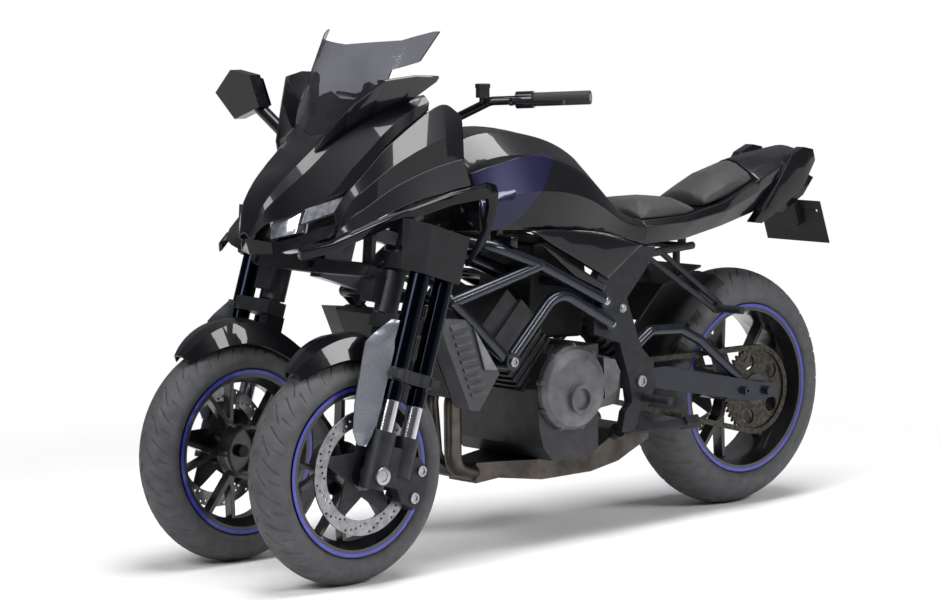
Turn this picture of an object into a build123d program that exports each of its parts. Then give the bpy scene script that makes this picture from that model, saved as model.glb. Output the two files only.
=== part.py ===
from build123d import *

import os
from math import asin, cos, degrees, hypot, radians, sin

# Reverse trike: a leaning motorcycle with two steered front wheels and one driven rear wheel.
# X is forward, Y to the rider's left and Z up, in millimetres. The origin is on the ground under the
# middle of the vehicle's length and width.

# Running gear: each wheel by its bead seat radius, tyre section height, tyre width and rim width.
WHEELBASE = 1510.0
TRACK = 430.0
FRONT_AXLE_X = 783.0
FRONT_BEAD_R, FRONT_SECTION, FRONT_TYRE_W, FRONT_RIM_W = 190.5, 84.0, 120.0, 90.0
REAR_BEAD_R, REAR_SECTION, REAR_TYRE_W, REAR_RIM_W = 215.9, 104.6, 190.0, 152.0
FRONT_TYRE_R, REAR_TYRE_R = FRONT_BEAD_R + FRONT_SECTION, REAR_BEAD_R + REAR_SECTION
REAR_AXLE_X = FRONT_AXLE_X - WHEELBASE
FIT = 0.3

# Front fork and steering, in the fork's own frame: z up the legs from the axle, x forward across them.
RAKE = 17.5
KINGPIN_X = -10.0
KINGPIN_R = 18.0
LEG_Y = 105.0
LEG_PITCH = 77.0
OUTER_TUBE_R, INNER_TUBE_R = 25.0, 20.5
LOWER_BRIDGE_Z, LOWER_BRIDGE_H = 345.0, 34.0
KNUCKLE_Z, KNUCKLE_H = 383.0, 101.0
UPPER_BRIDGE_Z, UPPER_BRIDGE_H = 488.0, 40.0
LEG_TOP_Z = UPPER_BRIDGE_Z + UPPER_BRIDGE_H + 8.0
OUTER_TUBE_FOOT_Z = 226.0
STUB_AXLE_R = 15.0
STEERING_ARM = 75.0
STEM_X = -180.0
STEM_R = 15.0
LINK_Z = 505.0

# Brakes and final drive.
FRONT_DISC_R, REAR_DISC_R, DISC_T = 149.0, 141.0, 5.0
FRONT_DISC_Y = 66.0
CHAIN_Y, CHAIN_PITCH = 111.0, 15.875
REAR_TEETH, FRONT_TEETH = 45, 16
SPROCKET_T = 7.0
DRIVE_X, DRIVE_Z = -140.0, 392.0

# Chassis.
PIVOT_X, PIVOT_Z, PIVOT_R = -215.0, 395.0, 24.0
ARM_Y, ARM_T = 128.0, 30.0
REAR_AXLE_R = 12.0
CRANKCASE_Y, GEARBOX_Y = 172.0, 150.0
CRANK_X, CRANK_Z = 9.0, 370.0
CYLINDER_LEAN = 45.0
FRAME_TUBE_R = 15.0
PLATE_Y, PLATE_T = 165.0, 30.0
PANEL_T = 4.0
BAR_R, GRIP_R, BAR_END_Y = 11.0, 17.0, 420.0

FORK = Plane(
    origin=(FRONT_AXLE_X, TRACK / 2, FRONT_TYRE_R),
    x_dir=(cos(radians(RAKE)), 0, sin(radians(RAKE))),
    z_dir=(-sin(radians(RAKE)), 0, cos(radians(RAKE))),
)
STEER = Plane(origin=(FORK.origin.X, 0, FORK.origin.Z), x_dir=FORK.x_dir, z_dir=FORK.z_dir)
NODES = {}


def node(name, *shapes):
    """Keeps the solids of one named piece."""
    solids = [s for shape in shapes for s in shape.solids()]
    NODES[name] = solids[0] if len(solids) == 1 else Compound(solids)


def pair(shape):
    """A left piece and its right twin."""
    return [shape, mirror(shape, about=Plane.XZ)]


def left_right(name, shape):
    """Two nodes from one left piece."""
    node(f"{name}_left", shape)
    node(f"{name}_right", mirror(shape, about=Plane.XZ))


def rod(start, end, radius):
    """A round bar between two points."""
    a, b = Vector(start), Vector(end)
    return Part() + Solid.make_cylinder(radius, (b - a).length, Plane(origin=a, z_dir=b - a))


def bent_tube(points, radius, bend):
    """A round tube along straight runs joined by arcs."""
    path = FilletPolyline(*points, radius=bend)
    return sweep(Plane(origin=path @ 0, z_dir=path % 0) * Circle(radius), path=path)


def prism(outline, y_from, y_to):
    """A side outline, as (x, z) points, drawn out across the vehicle."""
    face = make_face(Polyline(*[(x, y_from, z) for x, z in outline], close=True))
    return extrude(face, amount=y_to - y_from, dir=(0, 1, 0))


def lofted(sections, ruled=False):
    """A solid through closed outlines of 3D points."""
    return loft([make_face(Polyline(*points, close=True)) for points in sections], ruled=ruled)


def across(x, half):
    """A whole section at x from its left half of (y, z) points, from the top middle to the bottom middle."""
    left = [(x, y, z) for y, z in half]
    right = [(x, -y, z) for y, z in reversed(half) if y > 0]
    return left + right


def ring_y(x, y, z, radius, length):
    """A round bar across the vehicle, starting at y."""
    return rod((x, y, z), (x, y + length, z), radius)


# Wheels, built at the axle with the axle along y.
def tyre(outer_r, width, bead_r, rim_w):
    """A round-crowned tyre on its bead seat."""
    bead, wall, shoulder = rim_w / 2, width / 2, width * 0.485
    seat_r, flange_r, crown_drop = bead_r + FIT, bead_r + 14, width * 0.32
    mid_r = (flange_r + outer_r - crown_drop) / 2
    outline = [
        Line((0, -bead, seat_r), (0, bead, seat_r)),
        Line((0, bead, seat_r), (0, bead, flange_r)),
        ThreePointArc((0, bead, flange_r), (0, wall, mid_r), (0, shoulder, outer_r - crown_drop)),
        ThreePointArc(
            (0, shoulder, outer_r - crown_drop), (0, 0, outer_r), (0, -shoulder, outer_r - crown_drop)
        ),
        ThreePointArc((0, -shoulder, outer_r - crown_drop), (0, -wall, mid_r), (0, -bead, flange_r)),
        Line((0, -bead, flange_r), (0, -bead, seat_r)),
    ]
    return revolve(make_face(outline), Axis.Y, 360)


def cast_wheel(bead_r, rim_w, hub_r, hub_from, hub_to, bore_r, spoke_t):
    """Rim, five forked spokes and hub in one casting."""
    edge, lip_r, well_r = rim_w / 2 + 7, bead_r + 12, bead_r - 22
    rim_outline = [
        (edge, lip_r),
        (rim_w / 2 + FIT, lip_r),
        (rim_w / 2 + FIT, bead_r),
        (-rim_w / 2 - FIT, bead_r),
        (-rim_w / 2 - FIT, lip_r),
        (-edge, lip_r),
        (-edge, bead_r - 6),
        (-rim_w * 0.18, well_r),
        (rim_w * 0.18, well_r),
        (edge, bead_r - 6),
    ]
    rim = revolve(make_face(Polyline(*[(0, y, r) for y, r in rim_outline], close=True)), Axis.Y, 360)
    body = rim + ring_y(0, hub_from, 0, hub_r, hub_to - hub_from)
    fork_r, trunk_w, branch_w, spread = bead_r * 0.46, 10, 7, 13
    for turn in range(0, 360, 72):
        trunk = [(hub_r - 6, -trunk_w), (fork_r, -trunk_w), (fork_r, trunk_w), (hub_r - 6, trunk_w)]
        spoke = prism(trunk, -spoke_t / 2, spoke_t / 2)
        for side in (-1, 1):
            tip = ((well_r + 5) * cos(radians(spread)), side * (well_r + 5) * sin(radians(spread)))
            root = (fork_r - 12, side * 4)
            branch = [
                (root[0], root[1] - branch_w),
                (tip[0], tip[1] - branch_w * 0.8),
                (tip[0], tip[1] + branch_w * 0.8),
                (root[0], root[1] + branch_w),
            ]
            spoke = spoke + prism(branch, -spoke_t / 2, spoke_t / 2)
        body = body + Rot(0, turn, 0) * spoke
    return body - ring_y(0, hub_from - 1, 0, bore_r, hub_to - hub_from + 2)


def brake_disc(radius, y, hub_r):
    """Braking band carried on a five-armed spider."""
    band = ring_y(0, y - DISC_T / 2, 0, radius, DISC_T) - ring_y(0, y - DISC_T, 0, radius - 38, 2 * DISC_T)
    boss = ring_y(0, y - DISC_T / 2, 0, hub_r + 14, DISC_T)
    boss = boss - ring_y(0, y - DISC_T, 0, hub_r + FIT, 2 * DISC_T)
    for turn in range(0, 360, 72):
        arm = [(hub_r + 8, -9), (radius - 32, -7), (radius - 32, 7), (hub_r + 8, 9)]
        boss = boss + Rot(0, turn + 20, 0) * prism(arm, y - DISC_T / 2, y + DISC_T / 2)
    return band + boss


def pitch_radius(teeth):
    """Pitch circle of a chain sprocket."""
    return CHAIN_PITCH / 2 / sin(radians(180 / teeth))


def sprocket(teeth, bore_r, thick=SPROCKET_T):
    """A toothed chain wheel, thinner than the chain's inner width."""
    tip, root = pitch_radius(teeth) + 4, pitch_radius(teeth) - 5
    outline = []
    for k in range(teeth):
        for share, r in ((0.05, root), (0.3, root), (0.52, tip), (0.83, tip)):
            a = radians(360 * (k + share) / teeth)
            outline.append((r * cos(a), r * sin(a)))
    return prism(outline, -thick / 2, thick / 2) - ring_y(0, -thick, 0, bore_r, 2 * thick)


HUB_R = 42.0
CUP_R, CUP_WALL, CUP_DEPTH, CUP_FLOOR = 66.0, 9.0, 34.0, 10.0
FRONT_HUB = (-24.0, FRONT_DISC_Y - DISC_T / 2 + 8)
front_left = Pos(FRONT_AXLE_X, TRACK / 2, FRONT_TYRE_R)
left_right("tyre_front", front_left * tyre(FRONT_TYRE_R, FRONT_TYRE_W, FRONT_BEAD_R, FRONT_RIM_W))
# The front hub opens into a wide cup on the inner side, round the end of the stub axle.
front_wheel = cast_wheel(FRONT_BEAD_R, FRONT_RIM_W, HUB_R, FRONT_HUB[0], FRONT_HUB[1], STUB_AXLE_R + FIT, 26)
cup = ring_y(0, FRONT_HUB[0] - CUP_DEPTH, 0, CUP_R, CUP_DEPTH + CUP_FLOOR)
cup = cup - ring_y(0, FRONT_HUB[0] - CUP_DEPTH - 1, 0, CUP_R - CUP_WALL, CUP_DEPTH + 1)
cup = cup - ring_y(0, FRONT_HUB[0] - 1, 0, STUB_AXLE_R + FIT, CUP_FLOOR + 2)
left_right("wheel_front", front_left * (front_wheel + cup))
left_right("disc_front", front_left * brake_disc(FRONT_DISC_R, FRONT_DISC_Y, HUB_R))

rear = Pos(REAR_AXLE_X, 0, REAR_TYRE_R)
REAR_HUB_Y = CHAIN_Y + SPROCKET_T / 2 + 4
node("tyre_rear", rear * tyre(REAR_TYRE_R, REAR_TYRE_W, REAR_BEAD_R, REAR_RIM_W))
node(
    "wheel_rear",
    rear * cast_wheel(REAR_BEAD_R, REAR_RIM_W, HUB_R, -REAR_HUB_Y, REAR_HUB_Y, REAR_AXLE_R + FIT, 34),
)
node("disc_rear", rear * brake_disc(REAR_DISC_R, -CHAIN_Y, HUB_R))
rear_sprocket = sprocket(REAR_TEETH, HUB_R + FIT)
for turn in range(0, 360, 72):
    rear_sprocket = rear_sprocket - Rot(0, turn, 0) * ring_y(77, -SPROCKET_T, 0, 20, 2 * SPROCKET_T)
node("sprocket_rear", rear * Pos(0, CHAIN_Y, 0) * rear_sprocket)


# Left fork, in the fork frame.
def outline_prism(points, z_from, height):
    """An (x, y) outline drawn up the fork axis."""
    return extrude(make_face(Polyline(*[(x, y, z_from) for x, y in points], close=True)), height)


def bar_z(x, y, z, radius, height):
    """A round bar along the fork axis."""
    return Pos(x, y, z) * Cylinder(radius, height, align=(Align.CENTER, Align.CENTER, Align.MIN))


LEGS = [(0.0, OUTER_TUBE_R, INNER_TUBE_R), (-LEG_PITCH, OUTER_TUBE_R - 1.0, INNER_TUBE_R - 1.0)]
AXLE_CLAMP_TOP = 104.0
SADDLE = 8.0
STOP_H, STOP_WALL = 30.0, 4.0


def fork_bridge():
    """Upper and lower saddles on the kingpin that hold the legs from inside, with the steering arm behind."""
    shape = bar_z(KINGPIN_X, 0, LOWER_BRIDGE_Z, KINGPIN_R, LEG_TOP_Z - LOWER_BRIDGE_Z)
    for z, height in ((LOWER_BRIDGE_Z, LOWER_BRIDGE_H), (UPPER_BRIDGE_Z, UPPER_BRIDGE_H)):
        back, front = -LEG_PITCH - OUTER_TUBE_R - 9, OUTER_TUBE_R + 9
        outer, inner = LEG_Y - SADDLE, LEG_Y - OUTER_TUBE_R - 7
        clamp = [
            (KINGPIN_X + 26, -18),
            (front, inner),
            (front, outer - 6),
            (front - 6, outer),
            (back + 6, outer),
            (back, outer - 6),
            (back, inner),
            (KINGPIN_X - 30, -18),
        ]
        shape = shape + outline_prism(clamp, z, height)
    arm_z = UPPER_BRIDGE_Z
    pin_x = KINGPIN_X - STEERING_ARM
    arm = [(KINGPIN_X, -18), (KINGPIN_X, 18), (pin_x, 13), (pin_x - 13, 0), (pin_x, -13)]
    shape = shape + outline_prism(arm, arm_z, LINK_Z - 8 - FIT - arm_z)
    shape = shape + bar_z(pin_x, 0, arm_z, 6, LINK_Z + 10 - arm_z)
    for x, outer_r, _ in LEGS:
        shape = shape - bar_z(x, LEG_Y, LOWER_BRIDGE_Z - 1, outer_r + FIT, LEG_TOP_Z - LOWER_BRIDGE_Z + 2)
    return shape


def fork_legs():
    """Two upside-down legs: outer tube, seal collar and inner tube each."""
    legs = []
    for x, outer_r, inner_r in LEGS:
        leg = bar_z(x, LEG_Y, OUTER_TUBE_FOOT_Z, outer_r, LEG_TOP_Z - OUTER_TUBE_FOOT_Z)
        leg = leg + bar_z(x, LEG_Y, AXLE_CLAMP_TOP - 40, inner_r, OUTER_TUBE_FOOT_Z - AXLE_CLAMP_TOP + 60)
        leg = leg + bar_z(x, LEG_Y, OUTER_TUBE_FOOT_Z - 48, outer_r - 1.5, 40)
        legs.append(leg)
    return legs


def tube_stop():
    """Clamp round the feet of both outer tubes, with a bolt lug at each end."""
    shape = Part()
    for x, outer_r, _ in LEGS:
        shape = shape + bar_z(x, LEG_Y, OUTER_TUBE_FOOT_Z, outer_r + STOP_WALL, STOP_H)
    web = [(0, LEG_Y - 16), (0, LEG_Y + 20), (-LEG_PITCH, LEG_Y + 20), (-LEG_PITCH, LEG_Y - 16)]
    shape = shape + outline_prism(web, OUTER_TUBE_FOOT_Z, STOP_H)
    for x, side in ((8, 1), (-LEG_PITCH - 8, -1)):
        lug = [(x, LEG_Y + 10), (x + side * 26, LEG_Y + 16), (x + side * 22, LEG_Y + 36), (x, LEG_Y + 30)]
        shape = shape + outline_prism(lug, OUTER_TUBE_FOOT_Z + 5, STOP_H - 10)
    for x, outer_r, _ in LEGS:
        shape = shape - bar_z(x, LEG_Y, OUTER_TUBE_FOOT_Z - 1, outer_r + FIT, STOP_H + 2)
    return shape


def axle_holder():
    """Cast foot that joins both legs, with the stub axle and the caliper lug."""
    front_r, back_r = OUTER_TUBE_R + 5, OUTER_TUBE_R + 2
    shape = bar_z(0, LEG_Y, -34, front_r, AXLE_CLAMP_TOP + 34)
    shape = shape + bar_z(-LEG_PITCH, LEG_Y, 8, back_r, AXLE_CLAMP_TOP - 8)
    web = [(10, LEG_Y - 12), (10, LEG_Y + 16), (-LEG_PITCH - 6, LEG_Y + 16), (-LEG_PITCH - 6, LEG_Y - 12)]
    shape = shape + outline_prism(web, -20, AXLE_CLAMP_TOP - 10)
    back = -LEG_PITCH
    lug = [
        (back, 70),
        (back - 44, 62),
        (back - 74, 40),
        (back - 80, -18),
        (back - 62, -56),
        (back - 14, -48),
        (back + 16, -14),
    ]
    shape = shape + prism(lug, LEG_Y - 14, LEG_Y + 14)
    shape = shape + ring_y(0, FRONT_HUB[0] - 14, 0, STUB_AXLE_R, LEG_Y - FRONT_HUB[0] + 14)
    for x, _, inner_r in LEGS:
        shape = shape - bar_z(x, LEG_Y, AXLE_CLAMP_TOP - 40 - FIT, inner_r + FIT, 60)
    return shape


def front_caliper():
    """Caliper that straddles the disc behind the rear leg."""
    r_in, r_out, half_angle = FRONT_DISC_R - 41, FRONT_DISC_R + 16, 21
    wedge = []
    corners = [(r_in, -half_angle), (r_out, -half_angle), (r_out + 4, 0)]
    corners += [(r_out, half_angle), (r_in, half_angle)]
    for r, a in corners:
        wedge.append((-r * cos(radians(a)), r * sin(radians(a))))
    y_in, y_out = FRONT_DISC_Y - 20, LEG_Y - 14 - FIT
    body = prism(wedge, y_in, y_out)
    slot = ring_y(0, FRONT_DISC_Y - DISC_T / 2 - 5, 0, FRONT_DISC_R + 6, DISC_T + 10)
    return body - slot


def fender():
    """Arched mudguard over the tyre: stations by angle, crown radius, half width and depth of the sides."""
    stations = [
        (38, 300, 24, 20),
        (52, 318, 50, 44),
        (70, 328, 62, 58),
        (90, 318, 66, 60),
        (116, 306, 62, 40),
    ]
    sections = []
    for angle, crown, half, side in stations:
        profile = []
        for share, drop in ((-1, 1), (-0.7, 0.14), (0, 0), (0.7, 0.14), (1, 1)):
            profile.append((half * share, crown - side * drop))
        profile += [(y * 0.94, r - 3.5) for y, r in reversed(profile)]
        a = radians(angle)
        sections.append([(r * cos(a), y, r * sin(a)) for y, r in profile])
    pad = outline_prism([(-46, -16), (6, -16), (6, 16), (-46, 16)], 304, LOWER_BRIDGE_Z - FIT - 304)
    return lofted(sections) + pad


def fork_guard():
    """Blade in front of the legs, thin at its leading edge, with a bevelled top."""
    seat = OUTER_TUBE_R + STOP_WALL + FIT
    stations = [
        (58, 44, 54, 86),
        (86, 36, 78, 88),
        (150, seat, 94, 90),
        (296, seat, 104, 90),
        (316, 36, 90, 91),
        (364, 38, 46, 96),
    ]
    sections = []
    for z, back, front, y in stations:
        sections.append([(back, y - 7, z), (front, y - 2, z), (front, y + 1, z), (back, y + 20, z)])
    return lofted(sections, ruled=True)


castings_left = [FORK * fork_bridge(), FORK * tube_stop(), FORK * axle_holder()]
node("fork_castings_left", *castings_left)
node("fork_castings_right", *[mirror(piece, about=Plane.XZ) for piece in castings_left])
legs_left = [FORK * leg for leg in fork_legs()]
node("fork_legs_left", *legs_left)
node("fork_legs_right", *[mirror(leg, about=Plane.XZ) for leg in legs_left])
left_right("caliper_front", FORK * front_caliper())
left_right("fender_front", FORK * fender())
left_right("fork_guard", FORK * fork_guard())


# Leaning parallelogram between the forks, in the steering frame, and the steering above it.
HORN_X, HORN_T = 36.0, 14.0
ARM_X, LEAN_ARM_T = HORN_X + HORN_T + FIT, 22.0
LEAN_PIN_R = 9.0
# Leaning arms: height up the fork axis and half span between the outer pins.
LEAN_ARMS = [(468.0, TRACK / 2), (585.0, TRACK / 2 - 58.0)]
# Horn of the knuckle as (y, z) points from the kingpin, rising past the upper bridge to the upper arm.
HORN = [
    (-10, 400),
    (10, 400),
    (10, 470),
    (-20, 484),
    (-40, 560),
    (-46, 600),
    (-70, 600),
    (-72, 560),
    (-48, 470),
    (-30, 400),
]


def pin_x(x, y, z, length):
    """A lean pin along the vehicle, from x forward."""
    return Pos(x, y, z) * Rot(0, 90, 0) * Cylinder(
        LEAN_PIN_R, length, align=(Align.CENTER, Align.CENTER, Align.MIN)
    )


def knuckle():
    """Housing round the left kingpin, with a horn that carries the pins of both leaning arms."""
    y = TRACK / 2
    shape = bar_z(KINGPIN_X, y, KNUCKLE_Z, KINGPIN_R + 11, KNUCKLE_H)
    horn_root = [(0, y - 20), (0, y + 9), (HORN_X + 1, y + 9), (HORN_X + 1, y - 20)]
    shape = shape + outline_prism(horn_root, 402, 66)
    face = make_face(Polyline(*[(HORN_X, y + dy, z) for dy, z in HORN], close=True))
    shape = shape + extrude(face, amount=HORN_T, dir=(1, 0, 0))
    for z, half in LEAN_ARMS:
        shape = shape + pin_x(HORN_X + 2, half, z, HORN_T + LEAN_ARM_T + 6)
    return shape - bar_z(KINGPIN_X, y, KNUCKLE_Z - 1, KINGPIN_R + FIT, KNUCKLE_H + 2)


def lean_arm(z, half):
    """Transverse arm, pinned in the middle and at both knuckles."""
    left = [(24, 17), (half, 14), (half + 13, 9), (half + 13, -9), (half, -14), (24, -17)]
    outline = left + [(-y, -h) for y, h in left]
    face = make_face(Polyline(*[(ARM_X, y, z + h) for y, h in outline], close=True))
    shape = extrude(face, amount=LEAN_ARM_T, dir=(1, 0, 0))
    for y in (-half, 0, half):
        shape = shape - Pos(ARM_X - 1, y, z) * Rot(0, 90, 0) * Cylinder(
            LEAN_PIN_R + FIT, LEAN_ARM_T + 2, align=(Align.CENTER, Align.CENTER, Align.MIN)
        )
    return shape


node("lean_linkage", *[STEER * lean_arm(z, half) for z, half in LEAN_ARMS], *pair(STEER * knuckle()))


def steering_link():
    """Tie rod across both forks with a drag link back to the handlebar's stem."""
    pin_x, stem_pin_x, half = KINGPIN_X - STEERING_ARM, STEM_X - STEERING_ARM, TRACK / 2
    outline = [
        (pin_x + 7, -half),
        (pin_x + 7, half),
        (pin_x - 7, half),
        (pin_x - 7, 7),
        (stem_pin_x, 7),
        (stem_pin_x, -7),
        (pin_x - 7, -7),
        (pin_x - 7, -half),
    ]
    shape = outline_prism(outline, LINK_Z - 6, 12)
    pins = [(pin_x, half), (pin_x, -half), (stem_pin_x, 0)]
    for x, y in pins:
        shape = shape + bar_z(x, y, LINK_Z - 8, 13, 16)
    for x, y in pins:
        shape = shape - bar_z(x, y, LINK_Z - 20, 6 + FIT, 40)
    return shape


node("steering_link", STEER * steering_link())

# Handlebar: route of its left half from the clamp to the end.
CLAMP_X, CLAMP_Z = 345.0, 1066.0
# The risers stand a little ahead of the bar, so that they pass the tank at full lock.
RISER_Y, RISER_R, RISER_AHEAD = 50.0, 15.0, 9.0
BAR_ROUTE = [(CLAMP_X, 0, CLAMP_Z), (CLAMP_X, 60, CLAMP_Z), (CLAMP_X - 35, 205, 1130), (178, BAR_END_Y, 1141)]


def handlebar():
    """Tapered bar, risers, top clamp, stem and the arm at its foot."""
    half = bent_tube(BAR_ROUTE, BAR_R, 40)
    shape = half + mirror(half, about=Plane.XZ)
    to_stem = (CLAMP_X - FORK.origin.X) * FORK.x_dir.X + (CLAMP_Z - FORK.origin.Z) * FORK.x_dir.Z
    top_z = (CLAMP_X - FORK.origin.X) * FORK.z_dir.X + (CLAMP_Z - FORK.origin.Z) * FORK.z_dir.Z
    stem_pin_x = STEM_X - STEERING_ARM
    foot = LINK_Z + 8 + FIT
    stem = bar_z(STEM_X, 0, foot, STEM_R, top_z - 60 - foot)
    arm = [(STEM_X + 24, -18), (STEM_X + 24, 18), (stem_pin_x, 13), (stem_pin_x - 13, 0), (stem_pin_x, -13)]
    stem = stem + outline_prism(arm, foot, 14)
    stem = stem + bar_z(stem_pin_x, 0, LINK_Z - 10, 6, foot + 14 - LINK_Z + 10)
    edge = [(STEM_X - 24, 22), (STEM_X - 6, RISER_Y), (STEM_X + 34, RISER_Y + 20)]
    clamp = edge + [(x, -y) for x, y in reversed(edge)]
    stem = stem + outline_prism(clamp, top_z - 62, 26)
    for y in (-RISER_Y, RISER_Y):
        stem = stem + bar_z(to_stem + RISER_AHEAD, y, top_z - 40, RISER_R, 56)
    return shape + STEER * stem


node("handlebar", handlebar())
grip_start = Vector(BAR_ROUTE[2]) + (Vector(BAR_ROUTE[3]) - Vector(BAR_ROUTE[2])) * 0.44
grip_end = Vector(BAR_ROUTE[3])
grip_way = (grip_end - grip_start).normalized()
grip = rod(grip_start, grip_end, GRIP_R)
grip = grip - rod(grip_start - grip_way * 5, grip_end + grip_way * 5, BAR_R + FIT)
node("grips", *pair(grip))


# Hand controls: a switch housing and a lever on each bar half.
control_at = grip_start - grip_way * 26
control = rod(grip_start - grip_way * 44, grip_start - grip_way * 1, 21)
control = control + rod(control_at, control_at + Vector(52, 10, -4), 9)
lever = [control_at + Vector(48, 6, -4), control_at + Vector(56, 30, -4), control_at + Vector(8, 150, -2)]
control = control + bent_tube(lever, 6, 14)
control = control - rod(grip_start - grip_way * 60, grip_end, BAR_R + FIT)
node("hand_controls", *pair(control))

# Main frame: tubes as runs of points on the left side, by bend radius.
HEAD_FOOT_Z, HEAD_TOP_Z = 560.0, 770.0
COWL_STAY_Y = 189.0


def on_stem(z, x=0.0, y=0.0):
    """A point near the stem axis, in the vehicle frame."""
    return STEER.from_local_coords(Vector(STEM_X + x, y, z))


KNOT_X, KNOT_Z, KNOT_Y = -219.5, 457.6, 205.0
low_knot = STEER.from_local_coords(Vector(KNOT_X, KNOT_Y, KNOT_Z))
mount, saddle, frame_foot = Vector(263, 215, 488), Vector(155, 215, 719), Vector(-60, 215, 618)
# Side profile of the block that carries the middle pins, in the steering frame, open round the tie rod.
CARRIER = [
    (ARM_X - FIT, 443),
    (ARM_X - FIT, 605),
    (STEM_X, 605),
    (STEM_X, 575),
    (-34, 565),
    (-34, 487),
    (KNOT_X - 6, 478),
    (KNOT_X - 6, 447),
    (-150, 443),
]


def frame():
    """Head pipe, carrier of the leaning arms and the side tubes."""
    head = STEER * bar_z(STEM_X, 0, HEAD_FOOT_Z, STEM_R + 14, HEAD_TOP_Z - HEAD_FOOT_Z)
    runs = [
        ([on_stem(HEAD_TOP_Z - 150, 0, 12), (300, 205, 772), saddle, frame_foot], 60),
        ([on_stem(HEAD_FOOT_Z + 20, 0, 12), low_knot], 0),
        ([saddle, low_knot], 0),
        ([low_knot, mount], 0),
        ([mount, (97, 215, 653), (-90, 215, 556)], 70),
    ]
    half = Part()
    for points, bend in runs:
        tube = bent_tube(points, FRAME_TUBE_R, bend) if bend else rod(points[0], points[1], FRAME_TUBE_R)
        half = half + tube
    for knot in (low_knot, saddle):
        half = half + Pos(knot) * Sphere(FRAME_TUBE_R + 1)
    half = half + ring_y(mount.X, mount.Y - 30, mount.Z, 22, 50)
    half = half + ring_y(frame_foot.X - 10, 170, frame_foot.Z - 4, 20, 50)
    half = half + ring_y(-90, 170, 556, 20, 50)
    shape = head + half + mirror(half, about=Plane.XZ)
    shape = shape + ring_y(low_knot.X, -KNOT_Y, low_knot.Z, FRAME_TUBE_R, 2 * KNOT_Y)
    shape = shape + rod((40, -215, 665), (40, 215, 665), FRAME_TUBE_R - 2)
    shape = shape + rod(on_stem(HEAD_FOOT_Z + 60), (40, 0, 665), FRAME_TUBE_R + 5)
    carrier = prism(CARRIER, -20, 20)
    for z, _ in LEAN_ARMS:
        carrier = carrier + pin_x(ARM_X - 20, 0, z, LEAN_ARM_T + 26)
    shape = shape + STEER * carrier
    shape = shape + rod(on_stem(HEAD_TOP_Z - 16), (600, 0, 1042), 11)
    shape = shape + ring_y(600, -COWL_STAY_Y, 1036, 9, 2 * COWL_STAY_Y)
    shape = shape + Pos(600, 0, 1047.4) * Box(36, 60, 19.8)
    return shape - STEER * bar_z(STEM_X, 0, HEAD_FOOT_Z - 1, STEM_R + FIT, HEAD_TOP_Z - HEAD_FOOT_Z + 2)


node("frame", frame())

PLATE_OUTLINE = [
    (-40, 640),
    (-80, 700),
    (-200, 738),
    (-268, 738),
    (-240, 690),
    (-165, 612),
    (-192, 545),
    (-218, 482),
    (-262, 440),
    (-270, 380),
    (-235, 318),
    (-190, 318),
    (-175, 400),
    (-140, 500),
    (-50, 530),
]
plate = prism(PLATE_OUTLINE, PLATE_Y, PLATE_Y + PLATE_T)
for x, z in ((-70, 614), (-90, 556)):
    plate = plate - ring_y(x, PLATE_Y - 1, z, 20 + FIT, PLATE_T + 2)
SHOCK_X, SHOCK_Z = -150.0, 588.0
STAND_TILT, STAND_LENGTH = 36.0, 270.0
STAND = Plane(
    origin=(-170, 150, 262), x_dir=(-1, 0, 0), z_dir=(0, cos(radians(STAND_TILT)), sin(radians(STAND_TILT)))
)
plates = plate + mirror(plate, about=Plane.XZ)
for x, z in ((PIVOT_X, PIVOT_Z), (SHOCK_X, SHOCK_Z)):
    plates = plates + ring_y(x, -PLATE_Y - PLATE_T, z, 12, 2 * (PLATE_Y + PLATE_T))
stand_bracket = [(-148, 268), (-192, 268), (-222, 330), (-186, 345), (-160, 320)]
plates = plates + prism(stand_bracket, PLATE_Y + 7, PLATE_Y + PLATE_T)
plates = plates + STAND * Pos(0, 0, -12) * Cylinder(9, 54, align=(Align.CENTER, Align.CENTER, Align.MIN))
node("pivot_plates", plates)


# Engine: crankcase with a narrow gearbox, leaning cylinders and head, drive sprocket.
def engine_block():
    """Crankcase, sump, cylinder block, head and the drive sprocket on its shaft."""
    case = [
        (118, 300),
        (128, 400),
        (70, 486),
        (-60, 500),
        (-86, 500),
        (-86, 230),
        (-40, 214),
        (70, 214),
        (104, 250),
    ]
    gearbox = [(-80, 500), (-130, 478), (-160, 400), (-150, 320), (-80, 225)]
    shape = prism(case, -CRANKCASE_Y, CRANKCASE_Y) + prism(gearbox, -GEARBOX_Y, 92)
    lean = Pos(CRANK_X, 0, CRANK_Z) * Rot(0, CYLINDER_LEAN, 0)
    base = (Align.CENTER, Align.CENTER, Align.MIN)
    shape = shape + lean * Pos(0, 0, 60) * Box(140, 250, 150, align=base)
    shape = shape + lean * Pos(0, 0, 210.5) * Box(168, 280, 70, align=base)
    shape = shape + lean * Pos(0, 0, 209) * Box(150, 262, 120, align=base)
    for k in range(5):
        shape = shape + lean * Pos(0, 0, 108 + 20 * k) * Box(156, 266, 7, align=base)
    lug_y = mount.Y - 30 - FIT
    for side in (-1, 1):
        shape = shape + ring_y(mount.X, side * 118, mount.Z, 18, side * (lug_y - 118))
    shape = shape + ring_y(DRIVE_X, 80, DRIVE_Z, 14, CHAIN_Y + 12 - 80)
    return shape + Pos(DRIVE_X, CHAIN_Y, DRIVE_Z) * sprocket(FRONT_TEETH, 10, 10.2)


node("engine_block", engine_block())
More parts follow.
